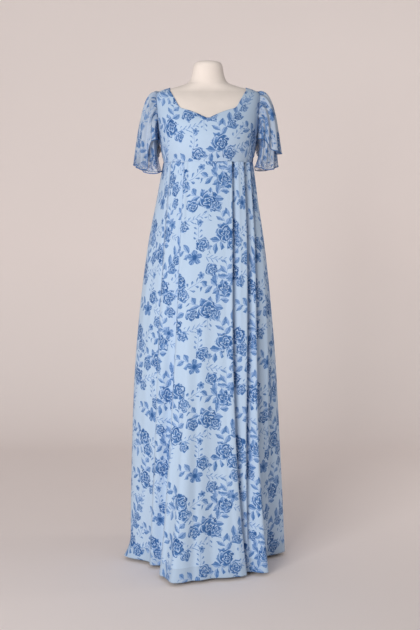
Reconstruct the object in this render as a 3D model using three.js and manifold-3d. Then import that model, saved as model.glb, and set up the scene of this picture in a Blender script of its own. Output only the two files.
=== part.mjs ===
// Maternity dress in printed chiffon, shown on a limbless dress form that stands on a pole and a foot.
// Millimetres, +Z up. The front faces -Y and the wearer's left is +X. The origin is the middle of the
// underside of the foot, on the floor.

import * as THREE from 'three';
import { mergeVertices } from 'three/addons/utils/BufferGeometryUtils.js';
import Module from 'manifold-3d';

// Driving dimensions

const EMPIRE_SEAM_Z = 1238;
const HEM_Z = 10;
const LINING_EDGE_Z = 52;
const SEAM_GAP = 0.3;
const BODICE_WALL = 2;
const LINED_WALL = 2;
const CHIFFON_WALL = 1.2;
const SLEEVE_WALL = 1.4;
// A sleeve's root is this far off the bodice's faceted surface
const SLEEVE_SEAT = 0.6;

// How far the outside of the bodice stands off the form, at the shoulders and at the empire seam
const SHOULDER_LIFT = 2.6;
const SEAM_LIFT = 11;
const SNUG_ABOVE_Z = 1410;

const STRAP_INNER_X = 121;
const NECK_CORNER = { x: 84, z: 1394 };
const NECK_DIP_Z = 1360;
const NECK_BOW = 26;
const BACK_CORNER = { x: 98, z: 1404 };
const BACK_DIP_Z = 1384;

const ARMHOLE = { z: 1375, halfHeight: 74, halfDepth: 40 };

const POLE_RADIUS = 16;
const FOOT_RADIUS = 150;
const FOOT_HEIGHT = 12;
const FOOT_EDGE = 4;

// Sections of the form, from its open hip end up to the top of its neck. Each is an oval with a
// half width, a front and a back depth, and a squareness, where 2 is an ellipse.
const FORM_SECTIONS = [
  { z: 760, half: 138, front: 92, back: 100, square: 2.2 },
  { z: 768, half: 147, front: 99, back: 107, square: 2.2 },
  { z: 790, half: 152, front: 104, back: 112, square: 2.2 },
  { z: 860, half: 160, front: 108, back: 120, square: 2.2 },
  { z: 940, half: 152, front: 104, back: 112, square: 2.2 },
  { z: 1044, half: 130, front: 97, back: 90, square: 2.2 },
  { z: 1128, half: 117, front: 92, back: 79, square: 2.2 },
  { z: 1195, half: 119, front: 102, back: 81, square: 2.2 },
  { z: 1238, half: 124.5, front: 116, back: 86, square: 2.2 },
  { z: 1274, half: 134.5, front: 136, back: 92, square: 2.25 },
  { z: 1310, half: 143, front: 145, back: 96, square: 2.35 },
  { z: 1348, half: 149, front: 138, back: 99, square: 2.5 },
  { z: 1382, half: 153, front: 118, back: 99, square: 2.6 },
  { z: 1410, half: 156, front: 98, back: 95, square: 2.6 },
  { z: 1429, half: 157.5, front: 81, back: 87, square: 2.6 },
  { z: 1441, half: 156, front: 68, back: 76, square: 2.5 },
  { z: 1449, half: 147, front: 59, back: 67, square: 2.4 },
  { z: 1457, half: 127, front: 53, back: 61, square: 2.3 },
  { z: 1464, half: 100, front: 50, back: 57, square: 2.2 },
  { z: 1471, half: 78, front: 48, back: 54, square: 2.1 },
  { z: 1477, half: 63, front: 47, back: 51, square: 2 },
  { z: 1487, half: 54, front: 46, back: 49, square: 2 },
  { z: 1505, half: 48, front: 45, back: 46, square: 2 },
  { z: 1527, half: 44, front: 43, back: 43, square: 2 },
  { z: 1537, half: 39, front: 38, back: 38, square: 2 },
  { z: 1541, half: 30, front: 29, back: 29, square: 2 },
];
const FORM_COLUMNS = 44;

// Ovals that the skirt's folds rise and fall about
const SKIRT_SECTIONS = [
  { z: 0, half: 219, front: 223, back: 206, square: 2 },
  { z: 300, half: 212, front: 212, back: 192, square: 2 },
  { z: 600, half: 203, front: 198, back: 172, square: 2.05 },
  { z: 800, half: 190, front: 182, back: 152, square: 2.1 },
  { z: 1000, half: 170, front: 160, back: 127, square: 2.15 },
  { z: 1130, half: 150, front: 142, back: 108, square: 2.2 },
  { z: EMPIRE_SEAM_Z, half: 135.5, front: 127, back: 97, square: 2.2 },
];

// The skirt's fold lines, each a crest or a valley, round from the wearer's right. Angles are in
// degrees from the front towards +X, and the rise is how far the line stands out of the oval, both at
// the empire seam, half way down and at the hem.
const SKIRT_FOLDS = [
  { seam: -90, middle: -87, hem: -89, seamRise: 1, middleRise: 24, hemRise: 26 },
  { seam: -60, middle: -53, hem: -68, seamRise: -2, middleRise: -5, hemRise: -20 },
  { seam: -50, middle: -43, hem: -60, seamRise: 2, middleRise: 5, hemRise: -17 },
  { seam: -35, middle: -34, hem: -52, seamRise: -3, middleRise: -10, hemRise: -42 },
  { seam: -28, middle: -26.5, hem: -34, seamRise: 1, middleRise: 6, hemRise: 22 },
  { seam: -22, middle: -18, hem: -22, seamRise: 0, middleRise: 12, hemRise: 58 },
  { seam: -9, middle: -8, hem: -9, seamRise: 0, middleRise: 3, hemRise: 20 },
  { seam: 7, middle: 4, hem: 5, seamRise: 0, middleRise: -3, hemRise: -3 },
  { seam: 22, middle: 14.5, hem: 20, seamRise: 0, middleRise: 1, hemRise: 2 },
  { seam: 31.5, middle: 20.8, hem: 31.5, seamRise: 2, middleRise: 7, hemRise: 3 },
  { seam: 35.5, middle: 24.8, hem: 34, seamRise: -3, middleRise: -6, hemRise: -8 },
  { seam: 48, middle: 33.5, hem: 36, seamRise: 2, middleRise: 5, hemRise: -6 },
  { seam: 54.5, middle: 38.2, hem: 38, seamRise: -3, middleRise: -7, hemRise: -2 },
  { seam: 61.5, middle: 43, hem: 46, seamRise: 2, middleRise: 8, hemRise: 26 },
  { seam: 67, middle: 49.6, hem: 61, seamRise: -3, middleRise: -9, hemRise: -36 },
  { seam: 76, middle: 61, hem: 73, seamRise: 2, middleRise: 4, hemRise: -31 },
  { seam: 81, middle: 67, hem: 82, seamRise: -2, middleRise: -6, hemRise: -34 },
  { seam: 90, middle: 88, hem: 98, seamRise: 1, middleRise: 8, hemRise: 29 },
  { seam: 101, middle: 101, hem: 110, seamRise: -1, middleRise: -6, hemRise: -22 },
  { seam: 112, middle: 113, hem: 121, seamRise: 1, middleRise: 9, hemRise: 26 },
  { seam: 124, middle: 125, hem: 133, seamRise: -1, middleRise: -8, hemRise: -28 },
  { seam: 138, middle: 138, hem: 144, seamRise: 1, middleRise: 8, hemRise: 30 },
  { seam: 150, middle: 151, hem: 156, seamRise: -2, middleRise: -8, hemRise: -24 },
  { seam: 163, middle: 164, hem: 168, seamRise: 1, middleRise: 9, hemRise: 22 },
  { seam: 180, middle: 180, hem: 180, seamRise: -1, middleRise: -6, hemRise: -14 },
  { seam: 196, middle: 196, hem: 193, seamRise: 1, middleRise: 9, hemRise: 28 },
  { seam: 210, middle: 210, hem: 206, seamRise: -2, middleRise: -9, hemRise: -26 },
  { seam: 222, middle: 223, hem: 219, seamRise: 1, middleRise: 8, hemRise: 24 },
  { seam: 234, middle: 236, hem: 231, seamRise: -1, middleRise: -8, hemRise: -30 },
  { seam: 246, middle: 249, hem: 243, seamRise: 1, middleRise: 9, hemRise: 20 },
  { seam: 258, middle: 262, hem: 256, seamRise: -1, middleRise: -7, hemRise: -26 },
];
const FOLD_COUNT = SKIRT_FOLDS.length;
const LEFT_SIDE_FOLD = 17;
const CENTRE_BACK_FOLD = 24;
const DEGREES_PER_COLUMN = 5;

// The hem kicks out at the wearer's right side
const HEM_KICK = { fold: 0, reach: 27, height: 80 };

// Heights of the skirt wall's rows, with a step at the lining's lower edge
const SKIRT_ROWS = [HEM_Z, 30, LINING_EDGE_Z - 1, LINING_EDGE_Z + 1, 90, 180, 300, 430, 560, 690, 810,
  920, 1020, 1100, 1165, EMPIRE_SEAM_Z - SEAM_GAP / 2];

// Each sleeve has two tiers of chiffon, sewn into one armhole. A tier's wall runs from the armhole,
// out past a point that the cloth bends over, and down to the hem, which is an oval beside the body.
const TIERS = {
  upper: { inset: 0, overTop: 50, overUnder: 3, rise: 15, sink: 10, spread: 1.75,
    hemX: 184, hemHalfWidth: 38, hemHalfDepth: 80, flute: 4, flutes: 7 },
  lower: { inset: SLEEVE_WALL + SEAM_GAP, overTop: 44, overUnder: 19, rise: 6, sink: 24, spread: 1.5,
    hemX: 177, hemHalfWidth: 34, hemHalfDepth: 66, flute: 3, flutes: 6 },
};
const HEM_WRAP = 14;
const SLEEVE_COLUMNS = 30;
const SLEEVE_ROWS = [0, 0.1, 0.26, 0.45, 0.64, 0.82, 1];

// Hem heights round each sleeve, by the angle from over the shoulder, through the front at 90
const SLEEVE_HEMS = [
  { angle: 0, upperLeft: 1266, upperRight: 1229, lowerLeft: 1229, lowerRight: 1224 },
  { angle: 40, upperLeft: 1267, upperRight: 1217, lowerLeft: 1217, lowerRight: 1212 },
  { angle: 68, upperLeft: 1277, upperRight: 1213, lowerLeft: 1213, lowerRight: 1203 },
  { angle: 92, upperLeft: 1302, upperRight: 1298, lowerLeft: 1218, lowerRight: 1202 },
  { angle: 135, upperLeft: 1306, upperRight: 1304, lowerLeft: 1222, lowerRight: 1206 },
  { angle: 180, upperLeft: 1290, upperRight: 1288, lowerLeft: 1221, lowerRight: 1212 },
  { angle: 225, upperLeft: 1268, upperRight: 1262, lowerLeft: 1217, lowerRight: 1214 },
  { angle: 270, upperLeft: 1262, upperRight: 1254, lowerLeft: 1215, lowerRight: 1213 },
  { angle: 320, upperLeft: 1264, upperRight: 1240, lowerLeft: 1220, lowerRight: 1216 },
  { angle: 360, upperLeft: 1266, upperRight: 1229, lowerLeft: 1229, lowerRight: 1224 },
];

const chiffonMaterial = () => new THREE.MeshStandardMaterial({ color: 0xaec4df, roughness: 0.85, metalness: 0 });
const jerseyMaterial = () => new THREE.MeshStandardMaterial({ color: 0xeadcd2, roughness: 0.9, metalness: 0 });
const steelMaterial = () => new THREE.MeshStandardMaterial({ color: 0xa9abad, roughness: 0.35, metalness: 1 });
const footMaterial = () => new THREE.MeshStandardMaterial({ color: 0xd9d6d0, roughness: 0.5, metalness: 0 });

const part = new THREE.Group();

const wasm = await Module();
wasm.setup();

// Smooth value of one column of a table between its rows, never past the values on either side
function between(rows, key, column, at) {
  const last = rows.length - 2;
  let i = 0;
  while (i < last && at > rows[i + 1][key]) i += 1;
  const slopeOf = (k) => (rows[k + 1][column] - rows[k][column]) / (rows[k + 1][key] - rows[k][key]);
  const slopeAt = (k) => {
    if (k === 0) return slopeOf(0);
    if (k === rows.length - 1) return slopeOf(k - 1);
    const before = slopeOf(k - 1);
    const after = slopeOf(k);
    return before * after <= 0 ? 0 : (2 * before * after) / (before + after);
  };
  const span = rows[i + 1][key] - rows[i][key];
  const t = THREE.MathUtils.clamp((at - rows[i][key]) / span, 0, 1);
  const rise = slopeAt(i) * span;
  const fall = slopeAt(i + 1) * span;
  const from = rows[i][column];
  const to = rows[i + 1][column];
  return from + t * rise + t * t * (3 * (to - from) - 2 * rise - fall)
    + t * t * t * (rise + fall - 2 * (to - from));
}

function ovalAt(sections, z) {
  const column = (name) => between(sections, 'z', name, z);
  return { half: column('half'), front: column('front'), back: column('back'), square: column('square') };
}

// Outward direction of the form's surface at a point on it
function formNormal(point) {
  const step = 0.5;
  const oval = ovalAt(FORM_SECTIONS, point.z);
  const above = ovalAt(FORM_SECTIONS, point.z + step);
  const below = ovalAt(FORM_SECTIONS, point.z - step);
  const face = point.y < 0 ? 'front' : 'back';
  const acrossShare = Math.abs(point.x / oval.half);
  const depthShare = Math.abs(point.y / oval[face]);
  const n = oval.square;
  const widthSlope = (above.half - below.half) / (2 * step) / oval.half;
  const depthSlope = (above[face] - below[face]) / (2 * step) / oval[face];
  return new THREE.Vector3(
    Math.sign(point.x) * acrossShare ** (n - 1) / oval.half,
    Math.sign(point.y) * depthShare ** (n - 1) / oval[face],
    -(acrossShare ** n) * widthSlope - (depthShare ** n) * depthSlope,
  ).normalize();
}

// Point of the form at an angle from the front, in radians, moved out by a lift
function formPoint(angle, z, lift) {
  const oval = ovalAt(FORM_SECTIONS, z);
  const power = 2 / oval.square;
  const across = Math.sin(angle);
  const ahead = Math.cos(angle);
  const depth = ahead > 0 ? oval.front : oval.back;
  const point = new THREE.Vector3(
    oval.half * Math.sign(across) * Math.abs(across) ** power,
    -depth * Math.sign(ahead) * Math.abs(ahead) ** power,
    z,
  );
  if (lift === 0) return point;
  return point.addScaledVector(formNormal(point), lift);
}

function bodiceLift(z) {
  const share = THREE.MathUtils.clamp((SNUG_ABOVE_Z - z) / (SNUG_ABOVE_Z - EMPIRE_SEAM_Z), 0, 1.2);
  return SHOULDER_LIFT + share ** 2 * (SEAM_LIFT - SHOULDER_LIFT);
}

function geometryFrom(positions, indices) {
  const geometry = new THREE.BufferGeometry();
  geometry.setAttribute('position', new THREE.Float32BufferAttribute(positions, 3));
  geometry.setIndex(indices);
  geometry.computeVertexNormals();
  return geometry;
}

// Closed body through level rings of points, from the lowest to the highest, with flat ends
function loft(rings) {
  const count = rings[0].length;
  const positions = rings.flat().flatMap((p) => [p.x, p.y, p.z]);
  const indices = [];
  for (let level = 0; level < rings.length - 1; level += 1) {
    for (let i = 0; i < count; i += 1) {
      const a = level * count + i;
      const b = level * count + ((i + 1) % count);
      indices.push(a, b, b + count, a, b + count, a + count);
    }
  }
  for (const [level, turn] of [[0, -1], [rings.length - 1, 1]]) {
    const middle = positions.length / 3;
    const ends = rings[level];
    const height = ends.reduce((sum, p) => sum + p.z, 0) / count;
    positions.push(0, 0, height);
    for (let i = 0; i < count; i += 1) {
      const a = level * count + i;
      const b = level * count + ((i + 1) % count);
      indices.push(...(turn > 0 ? [middle, a, b] : [middle, b, a]));
    }
  }
  return geometryFrom(positions, indices);
}

// Closed wall between an outer and an inner sheet, each a function of a column and a row value. A wall
// that goes all round joins its last column to its first.
function wall({ columns, rows, outer, inner, round = false, mirrored = false }) {
  const positions = [];
  const side = mirrored ? -1 : 1;
  for (const sheet of [outer, inner]) {
    for (const row of rows) {
      for (const column of columns) {
        const p = sheet(column, row);
        positions.push(side * p.x, p.y, p.z);
      }
    }
  }
  const across = columns.length;
  const up = rows.length;
  const at = (sheet, row, column) => (sheet * up + row) * across + (column % across);
  const quads = [];
  const spans = round ? across : across - 1;
  for (let row = 0; row < up - 1; row += 1) {
    for (let i = 0; i < spans; i += 1) {
      quads.push([at(0, row, i), at(0, row, i + 1), at(0, row + 1, i + 1), at(0, row + 1, i)]);
      quads.push([at(1, row, i + 1), at(1, row, i), at(1, row + 1, i), at(1, row + 1, i + 1)]);
    }
  }
  for (let i = 0; i < spans; i += 1) {
    quads.push([at(1, 0, i), at(1, 0, i + 1), at(0, 0, i + 1), at(0, 0, i)]);
    quads.push([at(0, up - 1, i), at(0, up - 1, i + 1), at(1, up - 1, i + 1), at(1, up - 1, i)]);
  }
  if (!round) {
    for (let row = 0; row < up - 1; row += 1) {
      quads.push([at(1, row, 0), at(0, row, 0), at(0, row + 1, 0), at(1, row + 1, 0)]);
      quads.push([at(0, row, spans), at(1, row, spans), at(1, row + 1, spans), at(0, row + 1, spans)]);
    }
  }
  const indices = quads.flatMap(([a, b, c, d]) => (mirrored ? [a, c, b, a, d, c] : [a, b, c, a, c, d]));
  return geometryFrom(positions, indices);
}

function solidOf(geometry) {
  const bare = geometry.clone();
  bare.deleteAttribute('normal');
  bare.deleteAttribute('uv');
  const merged = mergeVertices(bare);
  return new wasm.Manifold(new wasm.Mesh({
    numProp: 3,
    vertProperties: new Float32Array(merged.attributes.position.array),
    triVerts: new Uint32Array(merged.index.array),
  }));
}

function geometryOf(solid) {
  const { vertProperties, triVerts } = solid.getMesh();
  return geometryFrom(Array.from(vertProperties), Array.from(triVerts));
}

function add(name, geometry, material) {
  const mesh = new THREE.Mesh(geometry, material);
  mesh.name = name;
  part.add(mesh);
}

const formAngles = Array.from({ length: FORM_COLUMNS }, (_, i) => (i / FORM_COLUMNS) * 2 * Math.PI);

// Dress form, foot and pole

function makeForm() {
  const rings = FORM_SECTIONS.map(({ z }) => formAngles.map((angle) => formPoint(angle, z, 0)));
  add('form_torso', loft(rings), jerseyMaterial());

  const poleLow = FOOT_HEIGHT + SEAM_GAP;
  const poleHigh = FORM_SECTIONS[0].z - SEAM_GAP;
  const pole = new THREE.CylinderGeometry(POLE_RADIUS, POLE_RADIUS, poleHigh - poleLow, 24);
  pole.rotateX(Math.PI / 2).translate(0, 0, (poleLow + poleHigh) / 2);
  add('form_pole', pole, steelMaterial());

  const profile = [
    new THREE.Vector2(0, 0),
    new THREE.Vector2(FOOT_RADIUS, 0),
    new THREE.Vector2(FOOT_RADIUS, FOOT_HEIGHT - FOOT_EDGE),
    new THREE.Vector2(FOOT_RADIUS - FOOT_EDGE, FOOT_HEIGHT),
    new THREE.Vector2(0, FOOT_HEIGHT),
  ];
  add('form_foot', new THREE.LatheGeometry(profile, 48).rotateX(Math.PI / 2), footMaterial());
}

// Bodice, cut from a shell round the form by its neckline, its armholes and its seams

function bodiceShell() {
  const levels = FORM_SECTIONS.map(({ z }) => z).filter((z) => z > 1150 && z < 1482);
  const rounds = (inward) => levels.map((z) => formAngles.map((a) => formPoint(a, z, bodiceLift(z) - inward)));
  return solidOf(loft(rounds(0))).subtract(solidOf(loft(rounds(BODICE_WALL))));
}

// Solid above a neckline, from its dip at the centre out to each corner, then up the straps' edges
function neckCut(corner, dipZ, bow, deep) {
  const top = 1600;
  const shoulderZ = 1463;
  const outline = new THREE.Shape();
  outline.moveTo(0, dipZ);
  outline.quadraticCurveTo(corner.x * 0.55, dipZ + bow, corner.x, corner.z);
  outline.quadraticCurveTo(corner.x + 4, corner.z + 12, STRAP_INNER_X, shoulderZ);
  outline.lineTo(STRAP_INNER_X, top);
  outline.lineTo(-STRAP_INNER_X, top);
  outline.lineTo(-STRAP_INNER_X, shoulderZ);
  outline.quadraticCurveTo(-corner.x - 4, corner.z + 12, -corner.x, corner.z);
  outline.quadraticCurveTo(-corner.x * 0.55, dipZ + bow, 0, dipZ);
  const cut = new THREE.ExtrudeGeometry(outline, { depth: deep, bevelEnabled: false, curveSegments: 6 });
  return cut.rotateX(Math.PI / 2);
}

function armholeCut() {
  const reach = 400;
  const outline = new THREE.Shape();
  outline.absellipse(0, ARMHOLE.z, ARMHOLE.halfDepth, ARMHOLE.halfHeight, 0, 2 * Math.PI);
  const cut = new THREE.ExtrudeGeometry(outline, { depth: 2 * reach, bevelEnabled: false, curveSegments: 36 });
  const alongX = new THREE.Matrix4().makeBasis(
    new THREE.Vector3(0, 1, 0),
    new THREE.Vector3(0, 0, 1),
    new THREE.Vector3(1, 0, 0),
  );
  return cut.applyMatrix4(alongX).translate(-reach, 0, 0);
}

function block(xLow, xHigh, yLow, yHigh) {
  const low = EMPIRE_SEAM_Z + SEAM_GAP / 2;
  const height = 400;
  const box = new THREE.BoxGeometry(xHigh - xLow, yHigh - yLow, height);
  return solidOf(box.translate((xLow + xHigh) / 2, (yLow + yHigh) / 2, low + height / 2));
}

function makeBodice() {
  const far = 300;
  const half = SEAM_GAP / 2;
  const shell = bodiceShell().subtract(solidOf(armholeCut()));
  const front = shell.intersect(block(-far, far, -far, -half))
    .subtract(solidOf(neckCut(NECK_CORNER, NECK_DIP_Z, NECK_BOW, far)));
  const back = shell.subtract(solidOf(neckCut(BACK_CORNER, BACK_DIP_Z, 0, far).translate(0, far, 0)));
  add('bodice_front', geometryOf(front), chiffonMaterial());
  add('bodice_back_left', geometryOf(back.intersect(block(half, far, half, far))), chiffonMaterial());
  add('bodice_back_right', geometryOf(back.intersect(block(-far, -half, half, far))), chiffonMaterial());
}

// Skirt

// Value at the seam, half way down and at the hem, joined by one curve
function downSkirt(atSeam, atMiddle, atHem, z) {
  const t = (EMPIRE_SEAM_Z - z) / (EMPIRE_SEAM_Z - HEM_Z);
  return atSeam * 2 * (t - 0.5) * (t - 1) + atMiddle * 4 * t * (1 - t) + atHem * 2 * t * (t - 0.5);
}

function foldAt(index, z) {
  const lap = Math.floor(index / FOLD_COUNT);
  const row = SKIRT_FOLDS[index - lap * FOLD_COUNT];
  return {
    angle: downSkirt(row.seam, row.middle, row.hem, z) + 360 * lap,
    rise: downSkirt(row.seamRise, row.middleRise, row.hemRise, z),
  };
}

// Point of the skirt's outside, at a place counted in folds and a height
function skirtPoint(place, z) {
  const index = Math.floor(place);
  const share = place - index;
  const from = foldAt(index, z);
  const to = foldAt(index + 1, z);
  const eased = (1 - Math.cos(Math.PI * share)) / 2;
  const angle = THREE.MathUtils.degToRad(from.angle + share * (to.angle - from.angle));
  const oval = ovalAt(SKIRT_SECTIONS, z);
  const across = Math.abs(Math.sin(angle)) / oval.half;
  const along = Math.abs(Math.cos(angle)) / (Math.cos(angle) > 0 ? oval.front : oval.back);
  const n = oval.square;
  let radius = (across ** n + along ** n) ** (-1 / n);
  radius += from.rise + eased * (to.rise - from.rise);
  const lap = Math.round((place - HEM_KICK.fold) / FOLD_COUNT) * FOLD_COUNT;
  const near = Math.max(0, 1 - Math.abs(place - lap - HEM_KICK.fold));
  const low = Math.max(0, 1 - z / HEM_KICK.height);
  radius += HEM_KICK.reach * near * near * (3 - 2 * near) * low * low;
  return new THREE.Vector3(radius * Math.sin(angle), -radius * Math.cos(angle), z);
}

function skirtNormal(place, z) {
  const step = 0.02;
  const across = skirtPoint(place + step, z).sub(skirtPoint(place - step, z));
  const up = skirtPoint(place, z + 2).sub(skirtPoint(place, z - 2));
  return across.cross(up).normalize();
}

function makeSkirtPanel(name, firstFold, lastFold) {
  const columns = [];
  for (let fold = firstFold; fold < lastFold; fold += 1) {
    const width = foldAt(fold + 1, HEM_Z).angle - foldAt(fold, HEM_Z).angle;
    const parts = Math.max(2, Math.round(width / DEGREES_PER_COLUMN));
    for (let i = 0; i < parts; i += 1) columns.push(fold + i / parts);
  }
  columns.push(lastFold);
  // The panel's own edges stop short of the seam by half its gap
  const edgeShift = (place, z) => {
    const side = new THREE.Vector3(0, 0, 1).cross(skirtNormal(place, z)).normalize();
    if (place === firstFold) return side.multiplyScalar(SEAM_GAP / 2);
    return side.multiplyScalar(place === lastFold ? -SEAM_GAP / 2 : 0);
  };
  const outer = (place, z) => skirtPoint(place, z).add(edgeShift(place, z));
  const inner = (place, z) => {
    const thickness = z > LINING_EDGE_Z ? LINED_WALL : CHIFFON_WALL;
    return outer(place, z).addScaledVector(skirtNormal(place, z), -thickness);
  };
  add(name, wall({ columns, rows: SKIRT_ROWS, outer, inner }), chiffonMaterial());
}

// Sleeves

// Point of the bodice's outside beside the armhole, by the angle from over the shoulder, on an oval
// that is wider than the armhole by a margin, and lifted off the bodice by its seat
function armholePoint(angle, margin) {
  const y = -(ARMHOLE.halfDepth + margin) * Math.sin(angle);
  const z = ARMHOLE.z + (ARMHOLE.halfHeight + margin) * Math.cos(angle);
  let point = new THREE.Vector3(0, y, z);
  let formY = y;
  let formZ = z;
  for (let round = 0; round < 6; round += 1) {
    const oval = ovalAt(FORM_SECTIONS, formZ);
    const share = Math.min(1, Math.abs(formY) / (formY < 0 ? oval.front : oval.back));
    const onForm = new THREE.Vector3(oval.half * (1 - share ** oval.square) ** (1 / oval.square), formY, formZ);
    point = onForm.clone().addScaledVector(formNormal(onForm), bodiceLift(formZ) + SLEEVE_SEAT);
    formY += y - point.y;
    formZ += z - point.z;
  }
  return point;
}

function sleevePoint(tier, hems, angle, down, inward) {
  const { inset, overTop, overUnder, rise, sink, spread } = TIERS[tier];
  const root = armholePoint(angle, 2 * SLEEVE_WALL + 2 * SEAM_GAP - inset - inward);
  const top = (1 + Math.cos(angle)) / 2;
  const high = top ** 1.5;
  const bend = new THREE.Vector3(
    root.x + overUnder + (overTop - overUnder) * high - inward * Math.cos(angle),
    root.y * spread,
    root.z + rise * high - sink * (1 - high),
  );
  const { hemX, hemHalfWidth, hemHalfDepth, flute, flutes } = TIERS[tier];
  const wave = flute * (0.3 + 0.7 * top) * Math.cos(flutes * angle + 0.6);
  const hem = new THREE.Vector3(
    hemX + (hemHalfWidth - inward + wave) * Math.cos(angle) - HEM_WRAP * Math.sin(angle) ** 2,
    -(hemHalfDepth - inward + wave) * Math.sin(angle),
    between(SLEEVE_HEMS, 'angle', hems, THREE.MathUtils.radToDeg(angle)),
  );
  return new THREE.QuadraticBezierCurve3(root, bend, hem).getPoint(down);
}

function makeSleeveTier(side, tier) {
  const hems = `${tier}${side === 'left' ? 'Left' : 'Right'}`;
  const columns = Array.from({ length: SLEEVE_COLUMNS }, (_, i) => (i / SLEEVE_COLUMNS) * 2 * Math.PI);
  const geometry = wall({
    columns,
    rows: SLEEVE_ROWS,
    outer: (angle, down) => sleevePoint(tier, hems, angle, down, 0),
    inner: (angle, down) => sleevePoint(tier, hems, angle, down, SLEEVE_WALL),
    round: true,
    mirrored: side === 'right',
  });
  add(`sleeve_${tier}_${side}`, geometry, chiffonMaterial());
}

makeForm();
makeBodice();
makeSkirtPanel('skirt_front', 0, LEFT_SIDE_FOLD);
makeSkirtPanel('skirt_back_left', LEFT_SIDE_FOLD, CENTRE_BACK_FOLD);
makeSkirtPanel('skirt_back_right', CENTRE_BACK_FOLD, FOLD_COUNT);
for (const side of ['left', 'right']) {
  makeSleeveTier(side, 'upper');
  makeSleeveTier(side, 'lower');
}

export default part;
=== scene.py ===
"""Maternity dress in floral chiffon on a dress form: cloth, print, form, studio and camera."""

import math

import bmesh
import bpy
import numpy as np
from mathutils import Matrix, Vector


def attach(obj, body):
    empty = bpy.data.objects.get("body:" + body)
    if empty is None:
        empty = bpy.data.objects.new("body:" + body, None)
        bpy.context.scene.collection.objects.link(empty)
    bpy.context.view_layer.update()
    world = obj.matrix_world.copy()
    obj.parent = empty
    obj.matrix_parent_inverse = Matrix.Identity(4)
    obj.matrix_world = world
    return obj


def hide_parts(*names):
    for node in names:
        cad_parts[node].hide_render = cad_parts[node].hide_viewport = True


bl_info = {
    "name": "Floral Maternity Dress",
    "version": (1, 0, 0),
    "blender": (4, 5, 0),
    "location": "View3D > Sidebar > Dress",
    "description": "Builds a draped maternity dress in printed chiffon on a limbless dress form",
    "category": "Add Mesh",
}

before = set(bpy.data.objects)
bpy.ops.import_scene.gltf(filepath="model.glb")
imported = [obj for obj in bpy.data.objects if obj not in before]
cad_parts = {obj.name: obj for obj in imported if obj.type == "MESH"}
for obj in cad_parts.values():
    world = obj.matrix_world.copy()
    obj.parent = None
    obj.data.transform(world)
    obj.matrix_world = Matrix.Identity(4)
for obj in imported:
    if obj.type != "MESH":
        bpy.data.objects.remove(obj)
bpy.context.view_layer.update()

MM = 0.001

# The frame's named sizes, in millimetres. The front faces -Y and the wearer's left is +X.
EMPIRE_SEAM_Z = 1238
HEM_Z = 10
LINING_EDGE_Z = 52
SEAM_GAP = 0.3
SLEEVE_WALL = 1.4
SLEEVE_SEAT = 0.6
SHOULDER_LIFT = 2.6
SEAM_LIFT = 11
SNUG_ABOVE_Z = 1410
STRAP_INNER_X = 121
NECK_CORNER = (84, 1394)
NECK_DIP_Z = 1360
NECK_BOW = 26
BACK_CORNER = (98, 1404)
BACK_DIP_Z = 1384
SHOULDER_Z = 1463
ARMHOLE_Z = 1375
ARMHOLE_HALF_HEIGHT = 74
ARMHOLE_HALF_DEPTH = 40

# Sections of the form: height, half width, front depth, back depth and squareness, where 2 is an ellipse
FORM_SECTIONS = np.array([
    (760, 138, 92, 100, 2.2),
    (768, 147, 99, 107, 2.2),
    (790, 152, 104, 112, 2.2),
    (860, 160, 108, 120, 2.2),
    (940, 152, 104, 112, 2.2),
    (1044, 130, 97, 90, 2.2),
    (1128, 117, 92, 79, 2.2),
    (1195, 119, 102, 81, 2.2),
    (1238, 124.5, 116, 86, 2.2),
    (1274, 134.5, 136, 92, 2.25),
    (1310, 143, 145, 96, 2.35),
    (1348, 149, 138, 99, 2.5),
    (1382, 153, 118, 99, 2.6),
    (1410, 156, 98, 95, 2.6),
    (1429, 157.5, 81, 87, 2.6),
    (1441, 156, 68, 76, 2.5),
    (1449, 147, 59, 67, 2.4),
    (1457, 127, 53, 61, 2.3),
    (1464, 100, 50, 57, 2.2),
    (1471, 78, 48, 54, 2.1),
    (1477, 63, 47, 51, 2),
    (1487, 54, 46, 49, 2),
    (1505, 48, 45, 46, 2),
    (1527, 44, 43, 43, 2),
    (1537, 39, 38, 38, 2),
    (1541, 30, 29, 29, 2),
], float)

# Ovals that the skirt's folds rise and fall about, in the same columns
SKIRT_SECTIONS = np.array([
    (0, 219, 223, 206, 2),
    (300, 212, 212, 192, 2),
    (600, 203, 198, 172, 2.05),
    (800, 190, 182, 152, 2.1),
    (1000, 170, 160, 127, 2.15),
    (1130, 150, 142, 108, 2.2),
    (EMPIRE_SEAM_Z, 135.5, 127, 97, 2.2),
], float)

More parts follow.
